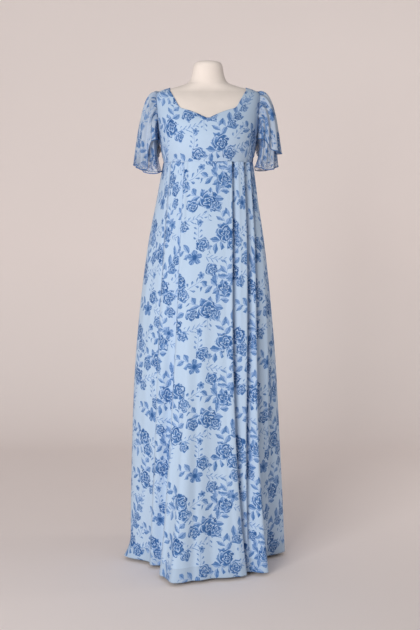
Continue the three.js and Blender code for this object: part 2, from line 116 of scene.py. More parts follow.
# The skirt's fold lines, round from the wearer's right: the angle from the front at the empire seam,
# half way down and at the hem, then the rise out of the oval at the same three heights
SKIRT_FOLDS = np.array([
    (-90, -87, -89, 1, 24, 26),
    (-60, -53, -68, -2, -5, -20),
    (-50, -43, -60, 2, 5, -17),
    (-35, -34, -52, -3, -10, -42),
    (-28, -26.5, -34, 1, 6, 22),
    (-22, -18, -22, 0, 12, 58),
    (-9, -8, -9, 0, 3, 20),
    (7, 4, 5, 0, -3, -3),
    (22, 14.5, 20, 0, 1, 2),
    (31.5, 20.8, 31.5, 2, 7, 3),
    (35.5, 24.8, 34, -3, -6, -8),
    (48, 33.5, 36, 2, 5, -6),
    (54.5, 38.2, 38, -3, -7, -2),
    (61.5, 43, 46, 2, 8, 26),
    (67, 49.6, 61, -3, -9, -36),
    (76, 61, 73, 2, 4, -31),
    (81, 67, 82, -2, -6, -34),
    (90, 88, 98, 1, 8, 29),
    (101, 101, 110, -1, -6, -22),
    (112, 113, 121, 1, 9, 26),
    (124, 125, 133, -1, -8, -28),
    (138, 138, 144, 1, 8, 30),
    (150, 151, 156, -2, -8, -24),
    (163, 164, 168, 1, 9, 22),
    (180, 180, 180, -1, -6, -14),
    (196, 196, 193, 1, 9, 28),
    (210, 210, 206, -2, -9, -26),
    (222, 223, 219, 1, 8, 24),
    (234, 236, 231, -1, -8, -30),
    (246, 249, 243, 1, 9, 20),
    (258, 262, 256, -1, -7, -26),
], float)
FOLD_COUNT = len(SKIRT_FOLDS)
LEFT_SIDE_FOLD = 17
CENTRE_BACK_FOLD = 24
KICK_REACH = 27
KICK_HEIGHT = 80

# Creases set between the folds: place in folds at the seam and at the hem, highest and lowest
# height reached, rise and half width. Each fades in and out along its length.
SKIRT_CREASES = (
    (0.45, 0.40, 1190, 610, 2.2, 7),
    (0.75, 0.62, 900, 120, 3.4, 9),
    (1.30, 1.42, 1238, 820, -1.8, 5),
    (1.65, 1.60, 1010, 240, 2.6, 6),
    (2.35, 2.30, 1238, 930, 1.7, 4),
    (2.60, 2.72, 820, 60, -4.2, 9),
    (3.35, 3.45, 1238, 700, 2.0, 5),
    (3.72, 3.60, 760, 90, 3.6, 8),
    (4.40, 4.30, 1238, 1010, -1.4, 5),
    (4.55, 4.66, 700, 30, -4.8, 12),
    (5.45, 5.55, 540, 10, 4.0, 14),
    (6.50, 6.35, 900, 330, 1.5, 16),
    (7.40, 7.52, 620, 40, -3.2, 15),
    (8.30, 8.40, 1238, 760, 1.2, 9),
    (8.62, 8.55, 720, 20, 3.0, 10),
    (9.20, 9.26, 1238, 500, -1.2, 3),
    (10.45, 10.55, 1238, 640, 1.6, 4),
    (10.60, 10.50, 560, 30, -3.4, 6),
    (11.40, 11.30, 1238, 380, 1.4, 3),
    (12.35, 12.45, 1238, 880, -1.8, 4),
    (12.60, 12.52, 830, 80, 4.4, 8),
    (13.45, 13.40, 1238, 720, 1.8, 4),
    (14.40, 14.30, 1238, 930, 1.7, 4),
    (14.62, 14.70, 860, 200, -2.8, 7),
    (15.40, 15.52, 1238, 560, 1.9, 5),
    (16.30, 16.22, 1238, 980, -1.6, 5),
    (16.45, 16.55, 900, 60, 4.2, 11),
    (16.78, 16.70, 560, 10, -3.0, 8),
    (17.40, 17.52, 1238, 690, 1.8, 6),
    (18.45, 18.30, 980, 140, -3.2, 8),
    (19.35, 19.52, 1238, 850, 2.1, 6),
    (19.60, 19.44, 640, 20, 3.9, 9),
    (20.50, 20.62, 1238, 410, -2.2, 7),
    (21.42, 21.30, 1130, 590, 2.3, 6),
    (21.62, 21.70, 520, 15, 4.2, 10),
    (22.55, 22.42, 1238, 770, 1.8, 5),
    (23.38, 23.56, 860, 90, -3.8, 10),
    (24.50, 24.38, 1238, 520, 1.9, 7),
    (25.40, 25.60, 930, 50, 3.6, 9),
    (26.46, 26.35, 1238, 800, -1.9, 6),
    (26.70, 26.58, 610, 20, 4.1, 9),
    (27.55, 27.66, 1238, 360, 2.1, 7),
    (28.40, 28.28, 1040, 170, -3.3, 8),
    (29.46, 29.60, 1238, 640, 2.2, 6),
    (29.70, 29.58, 560, 12, 3.7, 9),
    (30.42, 30.55, 1238, 900, 1.6, 5),
)

# Sewn pleats: the fold it begins at, the side its lip is on (1 near that fold, -1 near the next), how
# far the lip stands out, how far and how widely the cloth beside it drops in, the height it starts at,
# and how far the print jumps across it
PLEATS = (
    (9, 1, 2.2, 12.0, 4.2, 1238, 61),
    (11, 1, 2.6, 14.0, 5.4, 1238, 47),
    (13, 1, 2.8, 14.0, 4.6, 1238, 74),
    (15, 1, 1.6, 8.0, 4.0, 900, 0),
    (3, -1, 1.8, 4.5, 3.2, 1238, 58),
    (1, -1, 1.4, 3.5, 3.2, 1180, 0),
)

# Small gathers where the bodice is eased into its side seams: side, start angle, height, rise and
# half width, in degrees and millimetres. Each runs from the seam towards the front.
BODICE_GATHERS = (
    (1, 58, 1327, 1.5, 3.2),
    (1, 63, 1314, -1.2, 2.6),
    (1, 52, 1303, 1.8, 3.4),
    (1, 60, 1291, 1.4, 2.8),
    (1, 55, 1280, -1.3, 2.5),
    (1, 50, 1270, 1.7, 3.2),
    (1, 62, 1259, 1.3, 2.6),
    (1, 57, 1250, -1.2, 2.7),
    (-1, 66, 1319, 1.1, 3.0),
    (-1, 60, 1301, 1.4, 3.3),
    (-1, 68, 1287, -1.0, 2.6),
    (-1, 62, 1272, 1.3, 3.0),
    (-1, 65, 1256, 1.2, 2.8),
)

# Each tier of a sleeve runs from the armhole, out past a bend over the shoulder, to its hem oval
TIERS = {
    "upper": dict(inset=0, over_top=50, over_under=3, rise=15, sink=10, spread=1.75,
                  hem_x=184, half_width=38, half_depth=80, flute=4, flutes=7),
    "lower": dict(inset=1.7, over_top=44, over_under=19, rise=6, sink=24, spread=1.5,
                  hem_x=177, half_width=34, half_depth=66, flute=3, flutes=6),
}
HEM_WRAP = 14
# How much more cloth a sleeve has round it than its outline shows, where its print starts, and how far
# the right sleeve's folds are turned from the left one's
SLEEVE_FULLNESS = 1.2
SLEEVE_PRINT_ACROSS = {"left": 130, "right": 20}
SLEEVE_PRINT_UP = 40
SLEEVE_TURN = {"left": 0, "right": 6}
SLEEVE_COLUMNS = 216
SLEEVE_STEPS = 55
# How much single chiffon hides, from 0 to 1: on the sleeves, and in the skirt's hem below its lining
SLEEVE_ALPHA = 0.22
HEM_ALPHA = 0.87
# Heights between which a sleeve's cloth closes up, and how much it hides there
SHEER_HEM_Z = 1212
CLOSED_Z = 1285
CLOSED_ALPHA = 0.66
# Rows of the grid that the narrow turned hem takes, and the height of its turn on skirt and sleeve
HEM_ROWS = 4
HEM_TURN = 4.5
ROLLED_TURN = 2.6
# How far a seam draws the cloth in, and over what height
SEAM_DRAW = 0.35
SEAM_DRAW_REACH = 1.6
# Fullness that the bodice's side seams ease in, and where it sets in, by angle and by height
BODICE_EASE = 1.3
EASE_ANGLES = (48, 72)
EASE_HEIGHTS = (1350, 1290)
# Fullness of the skirt's gathers when they hang open and under the seam, the height where they start to
# open, and the folds between which they end and begin again beside the smooth front panel
OPEN_GATHERS = 0.08
SEAM_GATHERS = 0.9
GATHERS_OPEN_Z = 760
GATHERS_END = (3.1, 4.1)
GATHERS_BEGIN = (8.9, 9.6)
# Share of a crease's length over which it fades, and the height below which it runs off the hem
CREASE_FADE = 0.32
CREASE_LOW_Z = 30
# Where a pleat's lip and the drop beside it stand between two folds, the lip's half width, the height
# over which a pleat fades in, and the share of its relief that it has lost at the hem
LIP_PLACE = 0.08
DROP_PLACE = 0.85
LIP_WIDTH = 5.0
PLEAT_FADE = 260
PLEAT_LOSS = 0.15
# The fold in the middle of the smooth front panel, from which the print is laid out to both sides
PANEL_MIDDLE_FOLD = 7
# Rows of the skirt's grid from its hem to the lining's edge, from there to just under the seam, and on to
# the seam
SKIRT_ROWS = (11, 119, 9)
UNDER_SEAM_Z = 1211
# Rows of the bodice's grid: where the shoulder starts to turn over, the top, and the spacing below and
# above that turn
SHOULDER_TURN_Z = 1436
BODICE_TOP_Z = 1468
BODICE_ROW_STEPS = (3.4, 0.9)
# Grid of the form: columns round it, then each span of heights and how many rows it has
FORM_COLUMNS = 144
FORM_ROWS = ((760, 790, 13), (790, 1410, 100), (1410, 1487, 65), (1487, 1527, 12), (1527, 1541, 14))

# Hem heights by the angle from over the shoulder: upper left and right, then lower left and right
SLEEVE_HEMS = np.array([
    (0, 1266, 1229, 1229, 1224),
    (40, 1267, 1217, 1217, 1212),
    (68, 1277, 1213, 1213, 1203),
    (92, 1302, 1298, 1218, 1202),
    (135, 1306, 1304, 1222, 1206),
    (180, 1290, 1288, 1221, 1212),
    (225, 1268, 1262, 1217, 1214),
    (270, 1262, 1254, 1215, 1213),
    (320, 1264, 1240, 1220, 1216),
    (360, 1266, 1229, 1229, 1224),
], float)

# Folds that fall from a sleeve's gathers: angle at the armhole and at the hem, rise at the armhole and at
# the hem, then the half width in degrees
SLEEVE_FOLDS = (
    (6, 3, 2.6, 4.5, 6),
    (18, 17, -2.8, -4.5, 5),
    (30, 33, 2.6, 5.0, 6),
    (43, 48, -3.2, -5.0, 5),
    (55, 62, 2.8, 4.5, 6),
    (66, 76, -3.6, -3.5, 4),
    (78, 90, 2.2, 4.0, 6),
    (88, 102, -5.5, -4.5, 5),
    (104, 118, 1.6, 3.5, 7),
    (150, 150, 1.2, -4.0, 9),
    (212, 208, -1.4, 4.5, 8),
    (258, 252, -2.6, -4.5, 6),
    (272, 270, 2.4, 4.0, 6),
    (286, 287, -3.0, -5.0, 5),
    (299, 302, 2.8, 4.0, 6),
    (313, 318, -2.6, -4.5, 5),
    (327, 331, 2.7, 5.0, 6),
    (344, 346, -2.6, -4.0, 5),
)

# Motifs of the print in one repeat: kind, place across and up, turn in degrees, size in millimetres,
# depth of colour, then three shape numbers of the kind
PRINT_MOTIFS = (
    ("sprig", 78, 40, 14, 67, 0.55, 4, 0.13, 0.9),
    ("sprig", 22, 38, 212, 47, 0.74, 1.6, 0.25, 1.0),
    ("sprig", 38, 82, 103, 45, 0.62, 1.6, 0.23, 1.0),
    ("bloom", 62, 31, 20, 23.5, 0.92, 0.4, 0, 0),
    ("bloom", 34, 61, 75, 27, 1.0, 2.1, 0, 0),
    ("sprig", 148, 92, 146, 51.5, 0.66, 1.8, 0.24, 1.0),
    ("sprig", 146, 52, 204, 47, 0.58, 1.5, 0.26, 1.0),
    ("sprig", 196, 58, 24, 56, 0.62, 3, 0.17, 2.2),
    ("bloom", 181, 38, 250, 21.5, 0.86, 1.4, 0, 0),
    ("bloom", 166, 76, 140, 27, 1.0, 3.3, 0, 0),
    ("sprig", 52, 106, 50, 121, 0.66, 3.6, 0.23, 1.0),
    ("sprig", 114, 182, 56, 60.5, 0.50, 4, 0.12, 0.9),
    ("bloom", 86, 141, 10, 15.5, 0.98, 1.2, 0, 0),
    ("bloom", 68, 119, 95, 13.5, 0.90, 4.1, 0, 0),
    ("bloom", 106, 168, 200, 13.5, 0.80, 2.7, 0, 0),
    ("sprig", 200, 164, 163, 45, 0.62, 1.6, 0.25, 1.0),
    ("sprig", 250, 150, -18, 58, 0.52, 4, 0.12, 0.9),
    ("sprig", 226, 204, 82, 47, 0.60, 3, 0.18, 2.3),
    ("blossom", 216, 150, 18, 23.5, 0.90, 5, 0, 0),
    ("bloom", 240, 187, 310, 21.5, 0.92, 0.9, 0, 0),
    ("sprig", 14, 224, 172, 49.5, 0.68, 1.7, 0.25, 1.0),
    ("sprig", 38, 246, 78, 51.5, 0.58, 1.8, 0.24, 1.0),
    ("sprig", 62, 214, -24, 54, 0.54, 4, 0.13, 0.9),
    ("bloom", 34, 216, 165, 24.5, 0.96, 5.2, 0, 0),
    ("blossom", 60, 245, 40, 18, 0.82, 5, 0, 0),
    ("sprig", 130, 270, 158, 49.5, 0.66, 1.7, 0.24, 1.0),
    ("sprig", 158, 290, 74, 49.5, 0.60, 1.7, 0.25, 1.0),
    ("sprig", 186, 256, 8, 62.5, 0.52, 4, 0.12, 0.9),
    ("bloom", 179, 238, 60, 18, 0.84, 3.9, 0, 0),
    ("bloom", 150, 264, 120, 28, 1.0, 0.2, 0, 0),
    ("blossom", 108, 232, 10, 9.5, 0.84, 5, 0, 0),
    ("blossom", 236, 96, 25, 11, 0.84, 5, 0, 0),
    ("blossom", 232, 252, 15, 10, 0.80, 5, 0, 0),
    ("sprig", 268, 326, 32, 56, 0.64, 1.8, 0.24, 1.0),
    ("sprig", 246, 320, 148, 51.5, 0.66, 1.7, 0.25, 1.0),
    ("sprig", 258, 304, 258, 47, 0.60, 3, 0.18, 2.2),
    ("bloom", 254, 318, 30, 28, 1.0, 2.9, 0, 0),
    ("bloom", 278, 300, 190, 18, 0.88, 1.1, 0, 0),
    ("bloom", 208, 303, 50, 20, 0.92, 4.4, 0, 0),
    ("sprig", 276, 104, -48, 42.5, 0.62, 1.6, 0.25, 1.0),
    ("bloom", 266, 114, 80, 19, 0.90, 0.3, 0, 0),
    ("sprig", 78, 74, 42, 51.5, 0.56, 3, 0.17, 2.2),
    ("bloom", 66, 308, 110, 18, 0.88, 3.6, 0, 0),
)

# Upright gathers of the bodice beside its side seams: angle at the top and at the empire seam, highest
# height, rise and half width in degrees
BODICE_FOLDS = (
    (62, 58, 1316, -1.6, 1.7),
    (67, 63.5, 1342, 1.5, 1.8),
    (71.5, 68.5, 1350, -2.6, 1.8),
    (76.5, 73.5, 1338, 1.7, 1.6),
    (81, 78.5, 1352, -2.8, 1.8),
    (86, 84, 1330, 1.4, 1.7),
    (-66, -62, 1306, -1.2, 1.8),
    (-72, -69, 1330, 1.3, 1.9),
    (-78, -75.5, 1318, -1.7, 1.8),
)

# Studio, in metres: the lens and the film in millimetres, the camera's place and its dip in degrees
LENS = 59.3
FILM_WIDTH = 36
CAMERA_PLACE = (0.006, -3.2, 1.08)
CAMERA_DIP = 5.51
# The paper's near edge, where it starts to turn up, the radius of the turn, its height above, its width,
# and how many steps its floor, its turn and its wall have
PAPER_NEAR_Y = -4.5
PAPER_TURN_Y = 1.5
PAPER_RADIUS = 0.9
PAPER_RISE = 3.2
PAPER_WIDTH = 12
PAPER_STEPS = (40, 24, 30)
# Lights: name, place, target, size, power in watts and colour. The world lights the rest evenly.
LIGHTS = (
    ("Key", (-1.8, -3.85, 1.6), (0, 0, 0.85), (2.0, 2.0), 132, (1.0, 0.985, 0.965)),
    ("Wall wash", (2.1, 0.2, 0.8), (0.5, 2.4, 0.6), (0.6, 2.0), 13.5, (1.0, 0.98, 0.95)),
)
WORLD_COLOUR = (0.98, 0.96, 0.95, 1.0)
WORLD_STRENGTH = 0.345


def linear(code):
    """Linear colour of an sRGB hex value"""
    shares = [int(code[i:i + 2], 16) / 255 for i in (1, 3, 5)]
    return tuple(s / 12.92 if s <= 0.04045 else ((s + 0.055) / 1.055) ** 2.4 for s in shares)


# Sizes in metres: property, label, what it is, then its value, its lowest and its highest
SIZES = (
    ("repeat_across", "Repeat across", "Width of the print's repeat", 0.27, 0.1, 1),
    ("repeat_up", "Repeat up", "Height of the print's repeat", 0.32, 0.1, 1),
    ("lined_thickness", "Lined cloth", "Thickness of chiffon and lining", 0.0014, 0.0005, 0.002),
    ("chiffon_thickness", "Chiffon", "Thickness of the single chiffon", 0.0005, 0.0002, 0.001),
)

# Colours: property, label, what it is, and its sRGB value
COLOURS = (
    ("ground", "Ground", "Dyed ground of the chiffon", "#b5cae2"),
    # The sheer ground is paler than the ground: painted light, standing in for the light that shines
    # through single chiffon
    ("sheer_ground", "Sheer ground", "Ground of single chiffon with light behind it", "#c3d2e6"),
    ("print_light", "Light print", "Palest wash of the print", "#93afd8"),
    ("print_mid", "Middle print", "Middle wash of the print", "#4c76ad"),
    ("print_dark", "Dark print", "Deepest tone of the print", "#2a568f"),
    ("lining", "Lining", "Plain lining under the chiffon", "#a9bfd8"),
    ("jersey", "Jersey", "Cream jersey that covers the form", "#ece1d9"),
    ("backdrop", "Backdrop", "Paper sweep behind and under the form", "#f3e9e6"),
)


class DressSizes(bpy.types.PropertyGroup):
    """Sizes of the print and the cloth"""

    __annotations__ = {
        key: bpy.props.FloatProperty(
            name=label, description=text, default=value, min=low, max=high, unit="LENGTH")
        for key, label, text, value, low, high in SIZES}


class DressColours(bpy.types.PropertyGroup):
    """Colours of the print, the cloth and the form"""

    __annotations__ = {
        key: bpy.props.FloatVectorProperty(
            name=label, description=text, default=linear(code), min=0, max=1, subtype="COLOR")
        for key, label, text, code in COLOURS}


def between(rows, column, at):
    """Smooth value of a table's column between its rows, never past the values on either side"""
    keys = rows[:, 0]
    values = rows[:, column]
    steps = np.diff(values) / np.diff(keys)
    slopes = np.concatenate(([steps[0]], np.zeros(len(keys) - 2), [steps[-1]]))
    product = steps[:-1] * steps[1:]
    total = np.where(product > 0, steps[:-1] + steps[1:], 1)
    slopes[1:-1] = np.where(product > 0, 2 * product / total, 0)
    i = np.clip(np.searchsorted(keys, at) - 1, 0, len(keys) - 2)
    span = keys[i + 1] - keys[i]
    t = np.clip((at - keys[i]) / span, 0, 1)
    rise = slopes[i] * span
    fall = slopes[i + 1] * span
    gap = values[i + 1] - values[i]
    return values[i] + t * rise + t ** 2 * (3 * gap - 2 * rise - fall) + t ** 3 * (rise + fall - 2 * gap)


def smooth_step(low, high, at):
    t = np.clip((at - low) / (high - low), 0, 1)
    return t * t * (3 - 2 * t)


def depth_of(sections, in_front, z):
    """Depth of a section: its front depth in front of the axis, its back depth behind it"""
    return np.where(in_front, between(sections, 2, z), between(sections, 3, z))


def form_normal(point):
    """Outward direction of the form's surface at points on it"""
    step = 0.5
    x, y, z = point[..., 0], point[..., 1], point[..., 2]
    half = between(FORM_SECTIONS, 1, z)
    depth = depth_of(FORM_SECTIONS, y < 0, z)
    n = between(FORM_SECTIONS, 4, z)
    half_slope = (between(FORM_SECTIONS, 1, z + step) - between(FORM_SECTIONS, 1, z - step)) / (2 * step)
    depth_above = depth_of(FORM_SECTIONS, y < 0, z + step)
    depth_slope = (depth_above - depth_of(FORM_SECTIONS, y < 0, z - step)) / (2 * step)
    across = np.abs(x / half)
    along = np.abs(y / depth)
    normal = np.stack((
        np.sign(x) * across ** (n - 1) / half,
        np.sign(y) * along ** (n - 1) / depth,
        -(across ** n) * half_slope / half - (along ** n) * depth_slope / depth,
    ), axis=-1)
    return normal / np.linalg.norm(normal, axis=-1, keepdims=True)


def form_point(angle, z, lift):
    """Points of the form at an angle from the front, in radians, moved out by a lift"""
    power = 2 / between(FORM_SECTIONS, 4, z)
    across = np.sin(angle)
    ahead = np.cos(angle)
    depth = depth_of(FORM_SECTIONS, ahead > 0, z)
    point = np.stack((
        between(FORM_SECTIONS, 1, z) * np.sign(across) * np.abs(across) ** power,
        -depth * np.sign(ahead) * np.abs(ahead) ** power,
        z * np.ones_like(angle),
    ), axis=-1)
    return point + form_normal(point) * np.asarray(lift)[..., None]


def bodice_lift(z):
    share = np.clip((SNUG_ABOVE_Z - z) / (SNUG_ABOVE_Z - EMPIRE_SEAM_Z), 0, 1.2)
    return SHOULDER_LIFT + share ** 2 * (SEAM_LIFT - SHOULDER_LIFT)


def down_skirt(row, first, z):
    """Value at the seam, half way down and at the hem of a fold's row, joined by one curve"""
    t = (EMPIRE_SEAM_Z - z) / (EMPIRE_SEAM_Z - HEM_Z)
    at_seam, at_middle, at_hem = row[..., first], row[..., first + 1], row[..., first + 2]
    return at_seam * 2 * (t - 0.5) * (t - 1) + at_middle * 4 * t * (1 - t) + at_hem * 2 * t * (t - 0.5)


def skirt_angle(place, z):
    """Angle from the front in degrees, of a place counted in folds"""
    index = np.floor(place).astype(int)
    share = place - index
    low = down_skirt(SKIRT_FOLDS[index % FOLD_COUNT], 0, z) + 360 * (index // FOLD_COUNT)
    high = down_skirt(SKIRT_FOLDS[(index + 1) % FOLD_COUNT], 0, z) + 360 * ((index + 1) // FOLD_COUNT)
    return low + share * (high - low)


def crease_relief(place, z, radius):
    """Rise of the listed creases"""
    relief = np.zeros_like(radius)
    angle = skirt_angle(place, z)
    down = (EMPIRE_SEAM_Z - z) / (EMPIRE_SEAM_Z - HEM_Z)
    for at_seam, at_hem, high, low, rise, half_width in SKIRT_CREASES:
        line = at_seam + (at_hem - at_seam) * down
        aside = np.radians(angle - skirt_angle(line, z)) * radius
        fade = CREASE_FADE * (high - low)
        start = 1 if high >= EMPIRE_SEAM_Z else smooth_step(high, high - fade, z)
        end = 1 if low <= CREASE_LOW_Z else smooth_step(low, low + fade, z)
        relief += rise * np.exp(-(aside / half_width) ** 2) * start * end
    for fold, side, lip, drop, width, start, _ in PLEATS:
        for share, rise, half_width in ((LIP_PLACE, lip, LIP_WIDTH), (DROP_PLACE, -drop, width)):
            line = np.full_like(place, fold + (share if side > 0 else 1 - share))
            aside = np.radians(angle - skirt_angle(line, z)) * radius
            kept = 1 - PLEAT_LOSS * down
            fade = 1 if start >= EMPIRE_SEAM_Z else smooth_step(start, start - PLEAT_FADE, z)
            relief += rise * np.exp(-(aside / (half_width * (1 + down))) ** 2) * kept * fade
    return relief


def skirt_point(place, z):
    """Points of the skirt's outside, at a place counted in folds and a height"""
    index = np.floor(place).astype(int)
    share = place - index
    eased = (1 - np.cos(np.pi * share)) / 2
    angle = np.radians(skirt_angle(place, z))
    low_rise = down_skirt(SKIRT_FOLDS[index % FOLD_COUNT], 3, z)
    high_rise = down_skirt(SKIRT_FOLDS[(index + 1) % FOLD_COUNT], 3, z)
    n = between(SKIRT_SECTIONS, 4, z)
    depth = depth_of(SKIRT_SECTIONS, np.cos(angle) > 0, z)
    across = np.abs(np.sin(angle)) / between(SKIRT_SECTIONS, 1, z)
    along = np.abs(np.cos(angle)) / depth
    radius = (across ** n + along ** n) ** (-1 / n)
    radius = radius + low_rise + eased * (high_rise - low_rise)
    near = np.maximum(0, 1 - np.abs(place - np.round(place / FOLD_COUNT) * FOLD_COUNT))
    low = np.maximum(0, 1 - z / KICK_HEIGHT)
    radius = radius + KICK_REACH * near ** 2 * (3 - 2 * near) * low ** 2
    radius = radius + crease_relief(place, z, radius)
    return np.stack((radius * np.sin(angle), -radius * np.cos(angle), z * np.ones_like(angle)), axis=-1)


def skirt_fullness(places, z):
    """Fullness of the skirt's gathers: none in the smooth front panel, most under the seam elsewhere"""
    gathered = np.maximum(1 - smooth_step(*GATHERS_END, places), smooth_step(*GATHERS_BEGIN, places))
    return 1 + gathered * (OPEN_GATHERS + SEAM_GATHERS * smooth_step(GATHERS_OPEN_Z, EMPIRE_SEAM_Z, z))


def armhole_point(angle, margin):
    """Points of the bodice's outside on an oval round the armhole"""
    y = -(ARMHOLE_HALF_DEPTH + margin) * np.sin(angle)
    z = ARMHOLE_Z + (ARMHOLE_HALF_HEIGHT + margin) * np.cos(angle)
    form_y, form_z = y, z
    for _ in range(6):
        n = between(FORM_SECTIONS, 4, form_z)
        depth = depth_of(FORM_SECTIONS, form_y < 0, form_z)
        share = np.minimum(1, np.abs(form_y) / depth)
        x = between(FORM_SECTIONS, 1, form_z) * (1 - share ** n) ** (1 / n)
        on_form = np.stack((x, form_y, form_z), axis=-1)
        point = on_form + form_normal(on_form) * (bodice_lift(form_z) + SLEEVE_SEAT)[..., None]
        form_y = form_y + y - point[..., 1]
        form_z = form_z + z - point[..., 2]
    return point


def sleeve_point(tier, hem_column, angle, down):
    """Points of a sleeve tier's outside, at an angle from over the shoulder and a share of the way down"""
    sizes = TIERS[tier]
    root = armhole_point(angle, 2 * SLEEVE_WALL + 2 * SEAM_GAP - sizes["inset"])
    top = (1 + np.cos(angle)) / 2
    high = top ** 1.5
    bend = np.stack((
        root[..., 0] + sizes["over_under"] + (sizes["over_top"] - sizes["over_under"]) * high,
        root[..., 1] * sizes["spread"],
        root[..., 2] + sizes["rise"] * high - sizes["sink"] * (1 - high),
    ), axis=-1)
    wave = sizes["flute"] * (0.3 + 0.7 * top) * np.cos(sizes["flutes"] * angle + 0.6)
    degrees = np.degrees(angle) % 360
    hem = np.stack((
        sizes["hem_x"] + (sizes["half_width"] + wave) * np.cos(angle) - HEM_WRAP * np.sin(angle) ** 2,
        -(sizes["half_depth"] + wave) * np.sin(angle),
        between(SLEEVE_HEMS, hem_column, degrees),
    ), axis=-1)
    t = down[..., None]
    return root * (1 - t) ** 2 + bend * 2 * t * (1 - t) + hem * t ** 2


def grid_normals(points):
    """Unit normals of a grid of points, outward when columns run to the left and rows run up"""
    normals = np.cross(np.gradient(points, axis=1), np.gradient(points, axis=0))
    return normals / np.maximum(np.linalg.norm(normals, axis=-1, keepdims=True), 1e-9)


def cloth_lengths(points, axis, start, fullness=None):
    """Length of cloth along a grid's rows or columns, from a starting line. Fullness is how many times
    longer than its outline gathered cloth is."""
    steps = np.linalg.norm(np.diff(points, axis=axis), axis=-1)
    if fullness is not None:
        steps = steps * (fullness[:, 1:] + fullness[:, :-1]) / 2
    pad = [(0, 0), (0, 0)]
    pad[axis] = (1, 0)
    lengths = np.cumsum(np.pad(steps, pad), axis=axis)
    return lengths - np.take(lengths, [start], axis=axis)


def with_turned_hem(points, normals, turn):
    """A grid of points with the rows of its narrow turned hem set before its lowest row"""
    rise = points[1] - points[0]
    rise = rise / np.linalg.norm(rise, axis=-1, keepdims=True)
    # Each row by its distance up from the fold of the hem and its distance inside the cloth
    rows = [points[0] - normals[0] * inside + rise * up
            for up, inside in ((turn, 1.5), (1.6, 1.6), (0.3, 1.2), (0.0, 0.6))]
    return np.concatenate((np.array(rows), points))


def sheet_mesh(points, across, up, hem_rows, jumps=None):
    """Sheet through a grid of points in millimetres, with its UV map in metres of cloth. The hem's rows
    take the second material. The print may jump across a column, as it does where a pleat hides cloth."""
    rows, columns = points.shape[:2]
    bm = bmesh.new()
    bmesh.ops.create_grid(bm, x_segments=columns - 1, y_segments=rows - 1, size=0.5)
    at = [(round((v.co.y + 0.5) * (rows - 1)), round((v.co.x + 0.5) * (columns - 1))) for v in bm.verts]
    for vert, place in zip(bm.verts, at):
        vert.co = points[place] * MM
    uv = bm.loops.layers.uv.new("UVMap")
    for face in bm.faces:
        jump = 0 if jumps is None else jumps[min(at[v.index][1] for v in face.verts)]
        for loop in face.loops:
            place = at[loop.vert.index]
            loop[uv].uv = ((across[place] + jump) * MM, up[place] * MM)
        face.smooth = True
        face.material_index = int(min(at[v.index][0] for v in face.verts) < hem_rows)
    return bm


def cut_away(bm, values):
    """Cuts a sheet along the line where its vertices' values pass zero, and drops the side below it"""
    value = dict(zip(bm.verts, values))
    cut = set()
    for edge in list(bm.edges):
        first, second = edge.verts
        if (value[first] > 0) != (value[second] > 0):
            share = value[first] / (value[first] - value[second])
            _, vert = bmesh.utils.edge_split(edge, first, float(share))
            value[vert] = 0
            cut.add(vert)
    for face in list(bm.faces):
        ends = [v for v in face.verts if v in cut]
        if len(ends) == 2:
            bmesh.utils.face_split(face, ends[0], ends[1])
    gone = [f for f in bm.faces if min(value[v] for v in f.verts) < 0]
    bmesh.ops.delete(bm, geom=gone, context="FACES")


def vertex_grid(bm):
    return np.array([v.co for v in bm.verts]) / MM


def finished(bm, name, materials):
    """New object from a bmesh, at the origin, with its materials"""
    mesh = bpy.data.meshes.new(name)
    bm.to_mesh(mesh)
    bm.free()
    for material in materials:
        mesh.materials.append(material)
    piece = bpy.data.objects.new(name, mesh)
    bpy.context.scene.collection.objects.link(piece)
    return piece


def thicken(piece, thickness, inside_offset=0, thin_share=None):
    """Gives a sheet its wall, inward. A thin share reads the group of the lined part."""
    wall = piece.modifiers.new("Cloth wall", "SOLIDIFY")
    wall.thickness = thickness
    wall.offset = -1
    wall.use_rim = True
    wall.material_offset = inside_offset
    if thin_share is not None:
        wall.vertex_group = "Lined"
        wall.thickness_vertex_group = thin_share


def add_node(tree, kind, inputs=None, **settings):
    """Adds a node with its settings, its inputs' values and the sockets linked into them. A node given as
    an input stands for its first output."""
    node = tree.nodes.new(kind)
    for name, value in settings.items():
        setattr(node, name, value)
    for key, value in (inputs or {}).items():
        if isinstance(value, bpy.types.Node):
            value = value.outputs[0]
        if isinstance(value, bpy.types.NodeSocket):
            tree.links.new(value, node.inputs[key])
        else:
            node.inputs[key].default_value = value
    return node


def new_group(name, inputs, outputs):
    """Empty shader group and the nodes that hold its inputs and outputs"""
    tree = bpy.data.node_groups.new(name, "ShaderNodeTree")
    for socket, kind in inputs:
        tree.interface.new_socket(socket, in_out="INPUT", socket_type=kind)
    for socket, kind in outputs:
        tree.interface.new_socket(socket, in_out="OUTPUT", socket_type=kind)
    return tree, add_node(tree, "NodeGroupInput"), add_node(tree, "NodeGroupOutput")


FLOAT = "NodeSocketFloat"
VECTOR = "NodeSocketVector"


# How each motif is drawn, a step a row: its name, its work, and what goes in, where a word names an input
# of the group or an earlier step. The motif lies about X 0, Y 0 at a size of 1.

